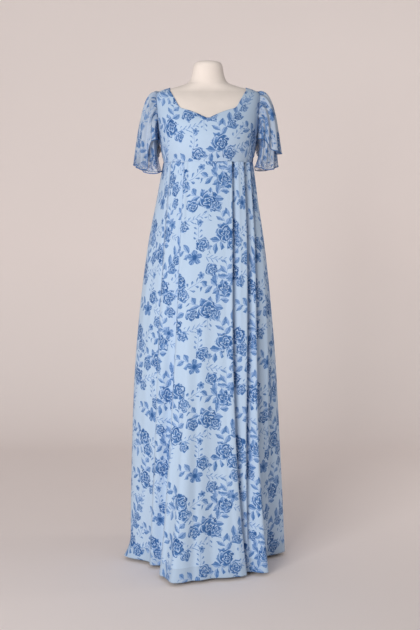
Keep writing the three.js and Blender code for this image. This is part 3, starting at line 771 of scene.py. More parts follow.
# Open rose in brush strokes: wavy outline and rings of petals round an eye that sits off its middle. Each
# petal is dark where it rises and fades to bare cloth at its lip.
BLOOM_INPUTS = ("X", "Y", "Seed", "Brush")
BLOOM_STEPS = (
    ("flat", "PLACE", "X", "Y"),
    ("length", "LENGTH", "flat"),
    ("lifted", "ADD", "Y", 0.16),
    ("turn", "ARCTAN2", "lifted", "X"),
    ("eye", "PLACE", "X", "lifted"),
    ("from_eye", "LENGTH", "eye"),
    ("lobe_turn", "MULTIPLY_ADD", "turn", 5.0, "Seed"),
    ("lobe", "SINE", "lobe_turn"),
    ("reach", "MULTIPLY_ADD", "lobe", 0.10, 1.0),
    ("rough", "MULTIPLY_ADD", "Brush", 0.55, "reach"),
    ("outline", "MULTIPLY", "length", "rough"),
    ("Mask", "SMOOTHSTEP", "outline", 1.0, 0.88, 0.0, 1.0),
    ("twist", "MULTIPLY_ADD", "from_eye", 3.4, "Seed"),
    ("petal_turn", "MULTIPLY_ADD", "turn", 2.0, "twist"),
    ("petal_wave", "SINE", "petal_turn"),
    ("petal", "ABSOLUTE", "petal_wave"),
    ("ring_start", "MULTIPLY_ADD", "from_eye", 2.35, 0.3),
    ("ring", "MULTIPLY_ADD", "petal", -0.62, "ring_start"),
    ("stroke", "MULTIPLY_ADD", "Brush", 1.9, "ring"),
    ("across", "FRACT", "stroke"),
    ("lip", "SMOOTHSTEP", "across", 0.97, 0.60, 0.0, 1.0),
    ("wash", "MULTIPLY_ADD", "across", -0.75, 1.12),
    ("under", "MULTIPLY_ADD", "Y", -0.22, 0.95),
    ("petal_tone", "MULTIPLY", "lip", "wash"),
    ("Tone", "MULTIPLY", "petal_tone", "under"),
)

# Flat blossom with separate petals, fine lines along them and a dark eye
BLOSSOM_INPUTS = ("X", "Y", "Petals")
BLOSSOM_STEPS = (
    ("flat", "PLACE", "X", "Y"),
    ("length", "LENGTH", "flat"),
    ("turn", "ARCTAN2", "Y", "X"),
    ("half", "MULTIPLY", "Petals", 0.5),
    ("petal_turn", "MULTIPLY", "turn", "half"),
    ("petal_wave", "COSINE", "petal_turn"),
    ("petal", "ABSOLUTE", "petal_wave"),
    ("petal_round", "POWER", "petal", 0.55),
    ("edge", "MULTIPLY_ADD", "petal_round", 0.58, 0.42),
    ("inside", "SUBTRACT", "edge", "length"),
    ("Mask", "SMOOTHSTEP", "inside", 0.0, 0.07, 0.0, 1.0),
    ("line_turn", "MULTIPLY", "turn", 15.0),
    ("line_wave", "SINE", "line_turn"),
    ("lines", "MULTIPLY_ADD", "line_wave", 0.16, 0.62),
    ("eye", "SMOOTHSTEP", "length", 0.14, 0.42, 0.55, 0.0),
    ("Tone", "ADD", "lines", "eye"),
)

# Stem with leaves on both sides by turns, from its root at X 0 to its tip at X 1. A higher fullness draws
# each leaf in to a bud on a stalk.
SPRIG_INPUTS = ("X", "Y", "Pairs", "Width", "Fullness")
SPRIG_STEPS = (
    ("squared", "MULTIPLY", "X", "X"),
    ("y", "MULTIPLY_ADD", "squared", -0.18, "Y"),
    ("side", "GREATER_THAN", "y", 0.0),
    ("steps", "MULTIPLY", "X", "Pairs"),
    ("turned", "MULTIPLY_ADD", "side", 0.5, "steps"),
    ("forward", "FRACT", "turned"),
    ("height", "ABSOLUTE", "y"),
    ("out", "MULTIPLY", "height", "Pairs"),
    ("taper", "MULTIPLY_ADD", "X", -0.45, 1.35),
    ("along_forward", "MULTIPLY", "forward", 0.74),
    ("along_sum", "MULTIPLY_ADD", "out", 0.67, "along_forward"),
    ("along", "DIVIDE", "along_sum", "taper"),
    ("aside_forward", "MULTIPLY", "forward", -0.67),
    ("aside_sum", "MULTIPLY_ADD", "out", 0.74, "aside_forward"),
    ("aside_signed", "DIVIDE", "aside_sum", "taper"),
    ("aside", "ABSOLUTE", "aside_signed"),
    ("clipped", "LINEAR", "along", 0.0, 1.0, 0.0, 1.0),
    ("eased", "POWER", "clipped", "Fullness"),
    ("half_turn", "MULTIPLY", "eased", math.pi),
    ("belly", "SINE", "half_turn"),
    ("leaf_edge", "MULTIPLY", "belly", "Width"),
    ("inside", "SUBTRACT", "leaf_edge", "aside"),
    ("leaf", "SMOOTHSTEP", "inside", 0.0, 0.04, 0.0, 1.0),
    ("stem", "SMOOTHSTEP", "height", 0.022, 0.010, 0.0, 1.0),
    ("drawn", "MAXIMUM", "leaf", "stem"),
    ("on_stem", "COMPARE", "X", 0.5, 0.5),
    ("Mask", "MULTIPLY", "drawn", "on_stem"),
    ("vein", "SMOOTHSTEP", "aside", 0.05, 0.0, 0.0, 0.4),
    ("half_tone", "LINEAR", "aside_signed", -0.06, 0.06, 0.58, 0.86),
    ("Tone", "ADD", "half_tone", "vein"),
)


def motif_group(name, inputs, steps):
    """Shader group that draws a motif by its steps and gives where it is and how dark"""
    tree, given, result = new_group(
        name, [(socket, FLOAT) for socket in inputs], (("Mask", FLOAT), ("Tone", FLOAT)))
    made = {socket: given.outputs[socket] for socket in inputs}
    for step, work, *values in steps:
        values = {i: made.get(value, value) for i, value in enumerate(values)}
        if work == "PLACE":
            node = add_node(tree, "ShaderNodeCombineXYZ", values)
        elif work == "LENGTH":
            node = add_node(tree, "ShaderNodeVectorMath", values, operation=work)
        elif work in ("SMOOTHSTEP", "LINEAR"):
            node = add_node(tree, "ShaderNodeMapRange", values, interpolation_type=work)
        else:
            node = add_node(tree, "ShaderNodeMath", values, operation=work)
        made[step] = node.outputs["Value" if work == "LENGTH" else 0]
    for socket in ("Mask", "Tone"):
        tree.links.new(made[socket], result.inputs[socket])
    return tree


def floral_print(sizes):
    """Half-drop floral: every motif of one repeat, drawn in metres of cloth, as one depth of ink"""
    tree, given, result = new_group("Floral print", (("Cloth", VECTOR),), (("Ink", FLOAT),))
    vector_node = "ShaderNodeVectorMath"
    groups = {
        "bloom": motif_group("Bloom", BLOOM_INPUTS, BLOOM_STEPS),
        "blossom": motif_group("Blossom", BLOSSOM_INPUTS, BLOSSOM_STEPS),
        "sprig": motif_group("Sprig", SPRIG_INPUTS, SPRIG_STEPS)}
    shape_names = {
        "bloom": ("Seed",), "blossom": ("Petals",), "sprig": ("Pairs", "Width", "Fullness")}
    width = sizes.repeat_across
    height = sizes.repeat_up
    # A brush never runs quite true, so outlines wander by about 2 mm over 15 mm
    wander = add_node(tree, "ShaderNodeTexNoise", {
        "Vector": given.outputs["Cloth"], "Scale": 65.0, "Detail": 2.0, "Roughness": 0.6})
    wander_middle = add_node(tree, vector_node, {
        0: wander.outputs["Color"], 1: (0.5, 0.5, 0.5)}, operation="SUBTRACT")
    drawn = add_node(tree, vector_node, {
        0: wander_middle, 1: (0.009, 0.009, 0), 2: given.outputs["Cloth"]}, operation="MULTIPLY_ADD")
    brush = add_node(tree, "ShaderNodeMapRange", {0: wander, 1: 0.0, 2: 1.0, 3: -0.5, 4: 0.5})
    step_across = add_node(
        tree, vector_node, {0: drawn, 1: (1 / width, 0, 0)}, operation="DOT_PRODUCT")
    step_up = add_node(
        tree, vector_node, {0: drawn, 1: (-0.5 / width, 1 / height, 0)}, operation="DOT_PRODUCT")
    steps = add_node(tree, "ShaderNodeCombineXYZ", {
        0: step_across.outputs["Value"], 1: step_up.outputs["Value"]})
    ink = None
    for kind, across, up, turn, size, depth, *shape in PRINT_MOTIFS:
        u, v = across * MM, up * MM
        turned = math.radians(turn)
        cos, sin = math.cos(turned) / (size * MM), math.sin(turned) / (size * MM)
        # A sprig is placed by its root, so its cell is centred half its length along it
        start = 0.5 if kind == "sprig" else 0
        middle_u = u + start * size * MM * math.cos(turned)
        middle_v = v + start * size * MM * math.sin(turned)
        middle = (middle_u / width, middle_v / height - 0.5 * middle_u / width, 0)
        away = add_node(tree, vector_node, {0: steps, 1: middle}, operation="SUBTRACT")
        cell = add_node(tree, vector_node, {
            0: away, 1: (0.5, 0.5, 0.5), 2: (-0.5, -0.5, -0.5)}, operation="WRAP")
        x = add_node(tree, vector_node, {
            0: cell, 1: (width * cos + 0.5 * height * sin, height * sin, 0)}, operation="DOT_PRODUCT")
        y = add_node(tree, vector_node, {
            0: cell, 1: (-width * sin + 0.5 * height * cos, height * cos, 0)}, operation="DOT_PRODUCT")
        x_from_root = add_node(
            tree, "ShaderNodeMath", {0: x.outputs["Value"], 1: start}, operation="ADD")
        motif = add_node(tree, "ShaderNodeGroup", node_tree=groups[kind])
        tree.links.new(x_from_root.outputs[0], motif.inputs["X"])
        tree.links.new(y.outputs["Value"], motif.inputs["Y"])
        if kind == "bloom":
            tree.links.new(brush.outputs[0], motif.inputs["Brush"])
        set_inputs(motif, dict(zip(shape_names[kind], shape)))
        tone = add_node(tree, "ShaderNodeMath", {0: motif.outputs["Tone"], 1: depth}, operation="MULTIPLY")
        below = 0.0 if ink is None else ink.outputs[0]
        ink = add_node(tree, "ShaderNodeMix", {
            0: motif.outputs["Mask"], 2: below, 3: tone}, data_type="FLOAT")
    # Pooled watercolour: the wash is uneven over about 8 mm
    pool = add_node(tree, "ShaderNodeTexNoise", {
        "Vector": given.outputs["Cloth"], "Scale": 120.0, "Detail": 3.0, "Roughness": 0.65})
    pooled = add_node(tree, "ShaderNodeMapRange", {0: pool, 1: 0.3, 2: 0.7, 3: 0.72, 4: 1.18})
    uneven = add_node(tree, "ShaderNodeMath", {0: ink, 1: pooled}, operation="MULTIPLY")
    tree.links.new(uneven.outputs[0], result.inputs["Ink"])
    return tree


def new_material(name):
    """Material with an empty node tree, its shader and its output"""
    material = bpy.data.materials.new(name)
    material.use_nodes = True
    tree = material.node_tree
    tree.nodes.clear()
    shader = add_node(tree, "ShaderNodeBsdfPrincipled")
    output = add_node(tree, "ShaderNodeOutputMaterial")
    tree.links.new(shader.outputs["BSDF"], output.inputs["Surface"])
    return material, tree, shader


def set_inputs(node, values):
    for socket, value in values.items():
        node.inputs[socket].default_value = value


def rgba(colour):
    return (*colour, 1.0)


def printed_chiffon(name, colours, print_tree, alpha):
    """Crepe-yarn polyester chiffon, disperse printed. The twisted yarn scatters light, so it looks
    matt and powdery with a soft pale edge, and the print sits in the cloth, not on it."""
    material, tree, shader = new_material(name)
    uv = add_node(tree, "ShaderNodeUVMap", uv_map="UVMap")
    floral = add_node(tree, "ShaderNodeGroup", node_tree=print_tree)
    tree.links.new(uv.outputs["UV"], floral.inputs["Cloth"])
    ramp = add_node(tree, "ShaderNodeValToRGB", {0: floral.outputs["Ink"]})
    stops = ramp.color_ramp.elements
    # The sleeves' single chiffon takes the paler sheer ground, which is painted light for the light
    # through it
    ground = colours.sheer_ground if alpha == SLEEVE_ALPHA else colours.ground
    stops[0].position, stops[0].color = 0.0, rgba(ground)
    stops[1].position, stops[1].color = 1.0, rgba(colours.print_dark)
    for position, colour in ((0.28, colours.print_light), (0.62, colours.print_mid)):
        stop = stops.new(position)
        stop.color = rgba(colour)
    # Crepe grain: yarns 0.4 mm apart, drawn at 1.1 mm so that it shows
    grain = add_node(tree, "ShaderNodeTexNoise", {
        "Vector": uv.outputs["UV"], "Scale": 900.0, "Detail": 2.0, "Roughness": 0.7})
    shade = add_node(tree, "ShaderNodeMapRange", {0: grain, 1: 0.3, 2: 0.7, 3: 0.95, 4: 1.04})
    value = add_node(tree, "ShaderNodeHueSaturation", {"Color": ramp.outputs["Color"], "Value": shade})
    bump = add_node(tree, "ShaderNodeBump", {"Height": grain, "Strength": 0.25, "Distance": 0.0004})
    tree.links.new(value.outputs["Color"], shader.inputs["Base Color"])
    tree.links.new(bump.outputs["Normal"], shader.inputs["Normal"])
    set_inputs(shader, {
        "Roughness": 0.82, "Specular IOR Level": 0.25, "Sheen Weight": 0.06, "Sheen Roughness": 0.45})
    # Ink fills the mesh between the yarns, so sheer cloth hides more where it is printed
    if alpha < 1:
        cover = add_node(tree, "ShaderNodeMapRange", {
            0: floral.outputs["Ink"], 1: 0.1, 2: 0.8, 3: 0.0, 4: 0.3})
        # Towards the armhole the gathers close up and let less light through than the open hem
        place = add_node(tree, "ShaderNodeTexCoord")
        along = add_node(tree, "ShaderNodeSeparateXYZ", {0: place.outputs["Object"]})
        closed = add_node(tree, "ShaderNodeMapRange", {
            0: along.outputs["Z"], 1: SHEER_HEM_Z * MM, 2: CLOSED_Z * MM, 3: alpha,
            4: max(alpha, CLOSED_ALPHA)}, interpolation_type="SMOOTHSTEP")
        opacity = add_node(
            tree, "ShaderNodeMath", {0: closed, 1: cover}, operation="ADD", use_clamp=True)
        tree.links.new(opacity.outputs[0], shader.inputs["Alpha"])
    return material


def noise_finish(name, tones, drift, dents, settings, on_cloth=False, stretch=None):
    """Material whose colour drifts between two tones, by a noise's scale, detail and the span that counts.
    Its dents have a scale, detail, roughness, strength and depth in metres. The noise runs on the object,
    or on the cloth's own map, which may be stretched."""
    material, tree, shader = new_material(name)
    if on_cloth:
        place = add_node(tree, "ShaderNodeUVMap", uv_map="UVMap").outputs["UV"]
    else:
        place = add_node(tree, "ShaderNodeTexCoord").outputs["Object"]
    if stretch:
        place = add_node(tree, "ShaderNodeMapping", {"Vector": place, "Scale": stretch})
    scale, detail, low, high = drift
    cloud = add_node(tree, "ShaderNodeTexNoise", {"Vector": place, "Scale": scale, "Detail": detail})
    share = add_node(tree, "ShaderNodeMapRange", {0: cloud, 1: low, 2: high})
    colour = add_node(
        tree, "ShaderNodeMix", {0: share, 6: rgba(tones[0]), 7: rgba(tones[1])}, data_type="RGBA")
    tree.links.new(colour.outputs[2], shader.inputs["Base Color"])
    if dents:
        scale, detail, roughness, strength, depth = dents
        grain = add_node(tree, "ShaderNodeTexNoise", {
            "Vector": place, "Scale": scale, "Detail": detail, "Roughness": roughness})
        bump = add_node(tree, "ShaderNodeBump", {"Height": grain, "Strength": strength, "Distance": depth})
        tree.links.new(bump.outputs["Normal"], shader.inputs["Normal"])
    set_inputs(shader, settings)
    return material


def darker(colour, share):
    return [share * c for c in colour]


def rolled_hem(colours):
    """Chiffon rolled and stitched into a narrow cord: three layers deep, so its colour is denser, and
    painted shade from the folds of the roll darkens it further into a dark line, with stitches of 2 mm as
    long dents along the edge."""
    # Dark and middle print tones: partly the denser colour of three layers, partly painted shade between
    # the folds
    return noise_finish(
        "Rolled hem with painted shade", (colours.print_dark, colours.print_mid), (1.0, 2.0, 0.0, 1.0),
        (1.0, 2.0, 0.5, 0.3, 0.0004), {"Roughness": 0.8}, on_cloth=True, stretch=(500.0, 120.0, 1.0))


def plain_lining(colours):
    """Woven polyester lining, calendered: plain, even and a little smoother than the chiffon."""
    return noise_finish(
        "Plain lining", (colours.lining, darker(colours.lining, 0.9)), (700.0, 1.0, 0.0, 1.0),
        (700.0, 1.0, 0.5, 0.15, 0.0003), {"Roughness": 0.6}, on_cloth=True)


def form_jersey(colours):
    """Cotton jersey stretched over padding: matt, with fine ribs of stitches down it. The stitches are
    0.8 mm apart, drawn at 1.6 mm so that they show."""
    return noise_finish(
        "Cream jersey", (colours.jersey, darker(colours.jersey, 0.93)), (14.0, 2.0, 0.35, 0.7),
        (620.0, 2.0, 0.6, 0.25, 0.0005), {"Roughness": 0.88, "Sheen Weight": 0.12})


def painted_foot():
    """Powder-coated steel disc: even warm grey with a slight orange peel."""
    return noise_finish(
        "Powder-coated steel", (linear("#d9d6d0"), linear("#cbc7c0")), (30.0, 3.0, 0.0, 1.0),
        (450.0, 1.0, 0.5, 0.2, 0.0003), {"Roughness": 0.5})


def paper_sweep(colours):
    """Seamless background paper: flat, matt and very slightly mottled."""
    return noise_finish(
        "Seamless paper", (colours.backdrop, darker(colours.backdrop, 0.975)), (2.2, 3.0, 0.0, 1.0),
        None, {"Roughness": 0.95, "Specular IOR Level": 0.1})


def brushed_steel():
    """Brushed steel tube: fine scratches run round it and blur its highlight along its length."""
    material, tree, shader = new_material("Brushed steel")
    place = add_node(tree, "ShaderNodeTexCoord")
    stretched = add_node(tree, "ShaderNodeMapping", {
        "Vector": place.outputs["Object"], "Scale": (30.0, 30.0, 1400.0)})
    scratches = add_node(tree, "ShaderNodeTexNoise", {"Vector": stretched, "Scale": 1.0, "Detail": 3.0})
    rough = add_node(tree, "ShaderNodeMapRange", {0: scratches, 3: 0.28, 4: 0.46})
    bump = add_node(tree, "ShaderNodeBump", {"Height": scratches, "Strength": 0.12, "Distance": 0.0002})
    set_inputs(shader, {"Base Color": rgba(linear("#a9abad")), "Metallic": 1.0})
    tree.links.new(rough.outputs[0], shader.inputs["Roughness"])
    tree.links.new(bump.outputs["Normal"], shader.inputs["Normal"])
    return material


def cloth_materials(context):
    """Lined chiffon, single chiffon of the sleeves and of the hem, rolled hem and lining, made once"""
    names = (
        "Printed chiffon over lining", "Single printed chiffon", "Printed chiffon hem", "Rolled hem with painted shade",
        "Plain lining")
    if names[0] not in bpy.data.materials:
        colours = context.scene.dress_colours
        print_tree = floral_print(context.scene.dress_sizes)
        printed_chiffon(names[0], colours, print_tree, 1.0)
        printed_chiffon(names[1], colours, print_tree, SLEEVE_ALPHA)
        printed_chiffon(names[2], colours, print_tree, HEM_ALPHA)
        rolled_hem(colours)
        plain_lining(colours)
    return [bpy.data.materials[name] for name in names]


def aim(thing, target):
    thing.rotation_euler = (Vector(target) - thing.location).to_track_quat("-Z", "Y").to_euler()


def add_light(name, place, target, size, power, colour):
    lamp = bpy.data.lights.new(name, "AREA")
    lamp.shape = "RECTANGLE"
    lamp.size, lamp.size_y = size
    lamp.energy = power
    lamp.color = colour
    thing = bpy.data.objects.new(name, lamp)
    bpy.context.scene.collection.objects.link(thing)
    thing.location = place
    thing.visible_camera = False
    aim(thing, target)


class DRESS_OT_stage(bpy.types.Operator):
    """Sets the camera, the soft studio light and the pale paper sweep"""

    bl_idname = "dress.stage"
    bl_label = "Stage"

    def execute(self, context):
        scene = context.scene
        scene.view_settings.view_transform = "Standard"
        lens = bpy.data.cameras.new("Camera")
        lens.lens = LENS
        lens.sensor_width = FILM_WIDTH
        camera = bpy.data.objects.new("Camera", lens)
        scene.collection.objects.link(camera)
        camera.location = CAMERA_PLACE
        camera.rotation_euler = (math.radians(90 - CAMERA_DIP), 0, 0)
        scene.camera = camera

        # The paper lies on the floor, turns up behind the form and rises past the picture's top
        floor, turn, wall = PAPER_STEPS
        depth = PAPER_TURN_Y - PAPER_NEAR_Y
        profile = [(PAPER_NEAR_Y + depth * i / floor, 0.0) for i in range(floor)]
        for i in range(turn):
            angle = 0.5 * math.pi * i / turn
            profile.append((
                PAPER_TURN_Y + PAPER_RADIUS * math.sin(angle), PAPER_RADIUS * (1 - math.cos(angle))))
        wall_y = PAPER_TURN_Y + PAPER_RADIUS
        profile += [(wall_y, PAPER_RADIUS + PAPER_RISE * i / wall) for i in range(wall + 1)]
        bm = bmesh.new()
        bmesh.ops.create_grid(bm, x_segments=24, y_segments=len(profile) - 1, size=0.5)
        for vert in bm.verts:
            y, z = profile[round((vert.co.y + 0.5) * (len(profile) - 1))]
            vert.co = (vert.co.x * PAPER_WIDTH, y, z)
        for face in bm.faces:
            face.smooth = True
        sweep = finished(bm, "paper_sweep", [paper_sweep(scene.dress_colours)])

        for light in LIGHTS:
            add_light(*light)
        world = bpy.data.worlds.new("Studio")
        world.use_nodes = True
        background = world.node_tree.nodes["Background"]
        background.inputs["Color"].default_value = WORLD_COLOUR
        background.inputs["Strength"].default_value = WORLD_STRENGTH
        scene.world = world
        return {"FINISHED"}


class DRESS_OT_form(bpy.types.Operator):
    """Covers the form in jersey and finishes its pole and foot"""

    bl_idname = "dress.form"
    bl_label = "Dress form"

    def execute(self, context):
        heights = np.unique(np.concatenate([np.linspace(*span) for span in FORM_ROWS]))
        angles = np.linspace(0, 2 * np.pi, FORM_COLUMNS + 1)
        angle, z = np.meshgrid(angles, heights)
        points = form_point(angle, z, np.zeros_like(z))
        across = cloth_lengths(points, 1, 0)
        up = cloth_lengths(points, 0, 0)
        bm = sheet_mesh(points, across, up, 0)
        bmesh.ops.remove_doubles(bm, verts=bm.verts[:], dist=0.00002)
        for level in (heights[0], heights[-1]):
            rim = [e for e in bm.edges
                   if e.is_boundary and all(abs(v.co.z / MM - level) < 0.01 for v in e.verts)]
            bmesh.ops.edgeloop_fill(bm, edges=rim)
        bmesh.ops.recalc_face_normals(bm, faces=bm.faces[:])
        torso = finished(bm, "form_body", [form_jersey(context.scene.dress_colours)])
        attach(torso, "root")
        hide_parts("form_torso")
        for node, material in (("form_pole", brushed_steel()), ("form_foot", painted_foot())):
            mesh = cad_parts[node].data
            mesh.materials.clear()
            mesh.materials.append(material)
        return {"FINISHED"}


def bodice_sheet(low_angle, high_angle, columns):
    """Sheet of the bodice between two angles from the front, before it is cut to its pattern"""
    low = EMPIRE_SEAM_Z + SEAM_GAP / 2
    below, above = BODICE_ROW_STEPS
    heights = np.concatenate((
        np.arange(low, SHOULDER_TURN_Z, below), np.arange(SHOULDER_TURN_Z, BODICE_TOP_Z, above)))
    angles = np.radians(np.linspace(low_angle, high_angle, columns))
    angle, z = np.meshgrid(angles, heights)
    lift = bodice_lift(z)
    degrees = np.degrees(angle)
    for side, start, height, rise, half_width in BODICE_GATHERS:
        off = z - height - 0.12 * (np.abs(degrees) - start)
        run = smooth_step(start, start + 16, side * degrees) * smooth_step(104, 88, side * degrees)
        lift = lift + rise * np.exp(-(off / half_width) ** 2) * run
    for top_angle, seam_angle, top, rise, half_width in BODICE_FOLDS:
        line = seam_angle + (top_angle - seam_angle) * (z - low) / (top - low)
        fade = smooth_step(top, top - 60, z)
        lift = lift + rise * np.exp(-((degrees - line) / half_width) ** 2) * fade
    # The seam draws the cloth in a little
    lift = lift - SEAM_DRAW * np.exp(-(z - low) / SEAM_DRAW_REACH)
    points = form_point(angle, z, lift)
    middle = int(np.argmin(np.abs(angles - np.radians((low_angle + high_angle) / 2))))
    # Cloth is gathered into the side seams below the armholes
    eased = smooth_step(*EASE_ANGLES, np.abs(degrees)) * smooth_step(*EASE_HEIGHTS, z)
    across = cloth_lengths(points, 1, middle, 1 + BODICE_EASE * eased)
    up = cloth_lengths(points, 0, 0)
    return sheet_mesh(points, across, up, 0)


def neck_height(corner, dip, bow, x):
    """Height of a neckline over a distance from the centre"""
    # Two curves meet at the corner: one rises from the dip, the other runs up the strap's inner edge
    t = np.linspace(0, 1, 25)
    first_x = 2 * t * (1 - t) * corner[0] * 0.55 + t ** 2 * corner[0]
    first_z = (1 - t) ** 2 * dip + 2 * t * (1 - t) * (dip + bow) + t ** 2 * corner[1]
    second_x = (1 - t) ** 2 * corner[0] + 2 * t * (1 - t) * (corner[0] + 4) + t ** 2 * STRAP_INNER_X
    second_z = (1 - t) ** 2 * corner[1] + 2 * t * (1 - t) * (corner[1] + 12) + t ** 2 * SHOULDER_Z
    line_x = np.concatenate((first_x, second_x[1:], [STRAP_INNER_X + 1]))
    line_z = np.concatenate((first_z, second_z[1:], [SHOULDER_Z + 150]))
    # The facing turns the corners softly, over about 12 mm
    return sum(np.interp(np.abs(x + aside), line_x, line_z) for aside in (-6, -3, 0, 3, 6)) / 5


def cut_bodice(bm, corner, dip, bow):
    """Cuts the armholes and the neckline"""
    at = vertex_grid(bm)
    oval = (at[:, 1] / ARMHOLE_HALF_DEPTH) ** 2 + ((at[:, 2] - ARMHOLE_Z) / ARMHOLE_HALF_HEIGHT) ** 2
    cut_away(bm, oval - 1)
    bm.verts.index_update()
    at = vertex_grid(bm)
    cut_away(bm, neck_height(corner, dip, bow, at[:, 0]) - at[:, 2])
    loose = [v for v in bm.verts if not v.link_faces]
    bmesh.ops.delete(bm, geom=loose, context="VERTS")


class DRESS_OT_bodice(bpy.types.Operator):
    """Cuts the bodice front and the two halves of its back"""

    bl_idname = "dress.bodice"
    bl_label = "Bodice"

    def execute(self, context):
        lined, *_, lining = cloth_materials(context)
        thickness = context.scene.dress_sizes.lined_thickness
        # Half a seam's gap, in degrees
        edge = 0.06
        front_neck = (NECK_CORNER, NECK_DIP_Z, NECK_BOW)
        back_neck = (BACK_CORNER, BACK_DIP_Z, 0)
        pieces = (
            ("bodice_front", -90, 90, 190, front_neck, (0.42, 0.28), 0.084),
            ("bodice_back_left", 90, 180, 96, back_neck, (0.2, 0.24), 0.036),
            ("bodice_back_right", 180, 270, 96, back_neck, (0.2, 0.24), 0.036),
        )
        for node, low, high, columns, neck, flat, area in pieces:
            bm = bodice_sheet(low + edge, high - edge, columns)
            cut_bodice(bm, *neck)
            piece = finished(bm, node + "_cloth", [lined, lining])
            thicken(piece, thickness, 1)
            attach(piece, "root")
            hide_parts(node)
        return {"FINISHED"}


class DRESS_OT_sleeves(bpy.types.Operator):
    """Hangs two tiers of single chiffon from each armhole"""

    bl_idname = "dress.sleeves"
    bl_label = "Sleeves"

    def execute(self, context):
        _, single, _, rolled, _ = cloth_materials(context)
        sizes = context.scene.dress_sizes
        for side in ("left", "right"):
            for tier, area in (("upper", 0.054), ("lower", 0.0585)):
                hem_column = 1 + (tier == "lower") * 2 + (side == "right")
                angles = np.radians(np.linspace(180, 540, SLEEVE_COLUMNS + 1))
                downs = np.linspace(1, 0, SLEEVE_STEPS + 1)
                angle, down = np.meshgrid(angles, downs)
                points = sleeve_point(tier, hem_column, angle, down)
                normals = grid_normals(points)
                relief = np.zeros_like(angle)
                degrees = np.degrees(angle) % 360
                for top_angle, hem_angle, top_rise, hem_rise, half_width in SLEEVE_FOLDS:
                    line = top_angle + (hem_angle - top_angle) * down + SLEEVE_TURN[side]
                    aside = (degrees - line + 180) % 360 - 180
                    rise = top_rise + (hem_rise - top_rise) * down
                    relief += rise * np.exp(-(aside / half_width) ** 2) * smooth_step(0, 0.08, down)
                if tier == "lower":
                    relief = np.minimum(relief, 0)
                points = points + normals * relief[..., None]
                points[:, -1] = points[:, 0]
                points = with_turned_hem(points, grid_normals(points), ROLLED_TURN)
                # The sleeve is gathered from a straight strip, so its print keeps the hem's spacing
                hem_lengths = cloth_lengths(points[HEM_ROWS:], 1, SLEEVE_COLUMNS // 2)[0] * SLEEVE_FULLNESS
                across = np.tile(hem_lengths, (len(points), 1)) + SLEEVE_PRINT_ACROSS[side]
                up = cloth_lengths(points, 0, HEM_ROWS) + SLEEVE_PRINT_UP
                if side == "right":
                    points = points * np.array((-1, 1, 1))
                bm = sheet_mesh(points, across, up, HEM_ROWS)
                if side == "right":
                    bmesh.ops.reverse_faces(bm, faces=bm.faces[:])
                bmesh.ops.remove_doubles(bm, verts=bm.verts[:], dist=0.00001)
                node = f"sleeve_{tier}_{side}"
                piece = finished(bm, node + "_cloth", [single, rolled])
                thicken(piece, sizes.chiffon_thickness)
                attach(piece, "root")
                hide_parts(node)
        return {"FINISHED"}


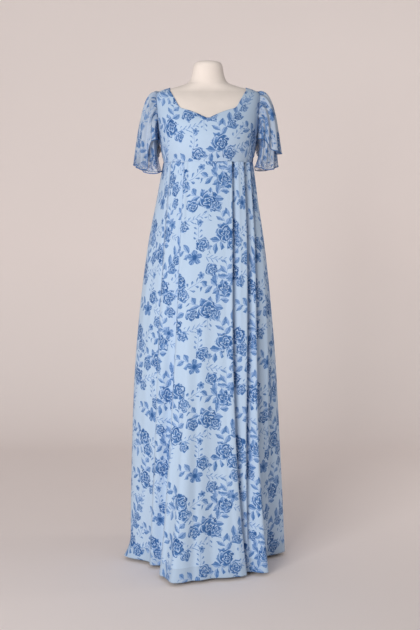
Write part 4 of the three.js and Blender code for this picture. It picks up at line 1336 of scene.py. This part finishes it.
class DRESS_OT_skirt(bpy.types.Operator):
    """Drapes the skirt's front and the two halves of its back from the empire seam"""

    bl_idname = "dress.skirt"
    bl_label = "Skirt"

    def execute(self, context):
        lined, _, hem_cloth, _, lining = cloth_materials(context)
        sizes = context.scene.dress_sizes
        top = EMPIRE_SEAM_Z - SEAM_GAP / 2
        levels = (HEM_Z, LINING_EDGE_Z, UNDER_SEAM_Z, top)
        heights = np.concatenate([[HEM_Z]] + [
            np.linspace(low, high, rows + 1)[1:]
            for low, high, rows in zip(levels, levels[1:], SKIRT_ROWS)])
        side, back = LEFT_SIDE_FOLD, CENTRE_BACK_FOLD
        panels = (
            ("skirt_front", 0, side, 14, PANEL_MIDDLE_FOLD, (1.04, 1.23), 0.907),
            ("skirt_back_left", side, back, 13, back, (0.48, 1.23), 0.406),
            ("skirt_back_right", back, FOLD_COUNT, 13, back, (0.5, 1.23), 0.424),
        )
        for node, first, last, per_fold, centre, flat, area in panels:
            places = np.linspace(first, last, (last - first) * per_fold + 1)
            place, z = np.meshgrid(places, heights)
            points = skirt_point(place, z)
            normals = grid_normals(points)
            sideways = np.cross((0, 0, 1), normals)
            sideways = sideways / np.linalg.norm(sideways, axis=-1, keepdims=True)
            points[:, 0] += sideways[:, 0] * SEAM_GAP / 2
            points[:, -1] -= sideways[:, -1] * SEAM_GAP / 2
            # The seam draws the cloth in a little
            points = points - normals * (SEAM_DRAW * np.exp(-(top - z) / SEAM_DRAW_REACH))[..., None]
            points = with_turned_hem(points, normals, HEM_TURN)
            middle = (centre - first) * per_fold
            fullness = skirt_fullness(places, points[..., 2])
            across = cloth_lengths(points, 1, middle, fullness)
            up = cloth_lengths(points, 0, HEM_ROWS)
            # The turned edge keeps the print of the cloth that it is turned from
            across[:HEM_ROWS] = across[HEM_ROWS]
            jumps = np.zeros(len(places) - 1)
            for fold, *_, hidden in PLEATS:
                if first <= fold < last:
                    column = int((fold + 0.5 - first) * per_fold)
                    if fold < PANEL_MIDDLE_FOLD:
                        jumps[:column] -= hidden
                    else:
                        jumps[column:] += hidden
            bm = sheet_mesh(points, across, up, HEM_ROWS + SKIRT_ROWS[0], jumps)
            lined_from = LINING_EDGE_Z * MM - 0.0001
            piece = finished(bm, node + "_cloth", [lined, hem_cloth, lining, hem_cloth])
            group = piece.vertex_groups.new(name="Lined")
            group.add([v.index for v in piece.data.vertices if v.co.z > lined_from], 1.0, "REPLACE")
            thicken(piece, sizes.lined_thickness, 2, sizes.chiffon_thickness / sizes.lined_thickness)
            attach(piece, "root")
            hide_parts(node)
        return {"FINISHED"}


class DRESS_PT_panel(bpy.types.Panel):
    """Lists the dress's pieces, sizes and colours"""

    bl_label = "Dress"
    bl_idname = "DRESS_PT_panel"
    bl_space_type = "VIEW_3D"
    bl_region_type = "UI"
    bl_category = "Dress"

    def draw(self, context):
        for operator in OPERATORS:
            self.layout.operator(operator.bl_idname)
        for group in (context.scene.dress_sizes, context.scene.dress_colours):
            box = self.layout.box()
            for name in group.__annotations__:
                box.prop(group, name)


OPERATORS = (DRESS_OT_stage, DRESS_OT_form, DRESS_OT_bodice, DRESS_OT_sleeves, DRESS_OT_skirt)
CLASSES = (DressSizes, DressColours, *OPERATORS, DRESS_PT_panel)


def register():
    for item in CLASSES:
        bpy.utils.register_class(item)
    bpy.types.Scene.dress_sizes = bpy.props.PointerProperty(type=DressSizes)
    bpy.types.Scene.dress_colours = bpy.props.PointerProperty(type=DressColours)


def unregister():
    del bpy.types.Scene.dress_colours
    del bpy.types.Scene.dress_sizes
    for item in reversed(CLASSES):
        bpy.utils.unregister_class(item)


def main():
    register()
    bpy.ops.dress.stage()
    bpy.ops.dress.form()
    bpy.ops.dress.bodice()
    bpy.ops.dress.sleeves()
    bpy.ops.dress.skirt()


if __name__ == "__main__":
    main()
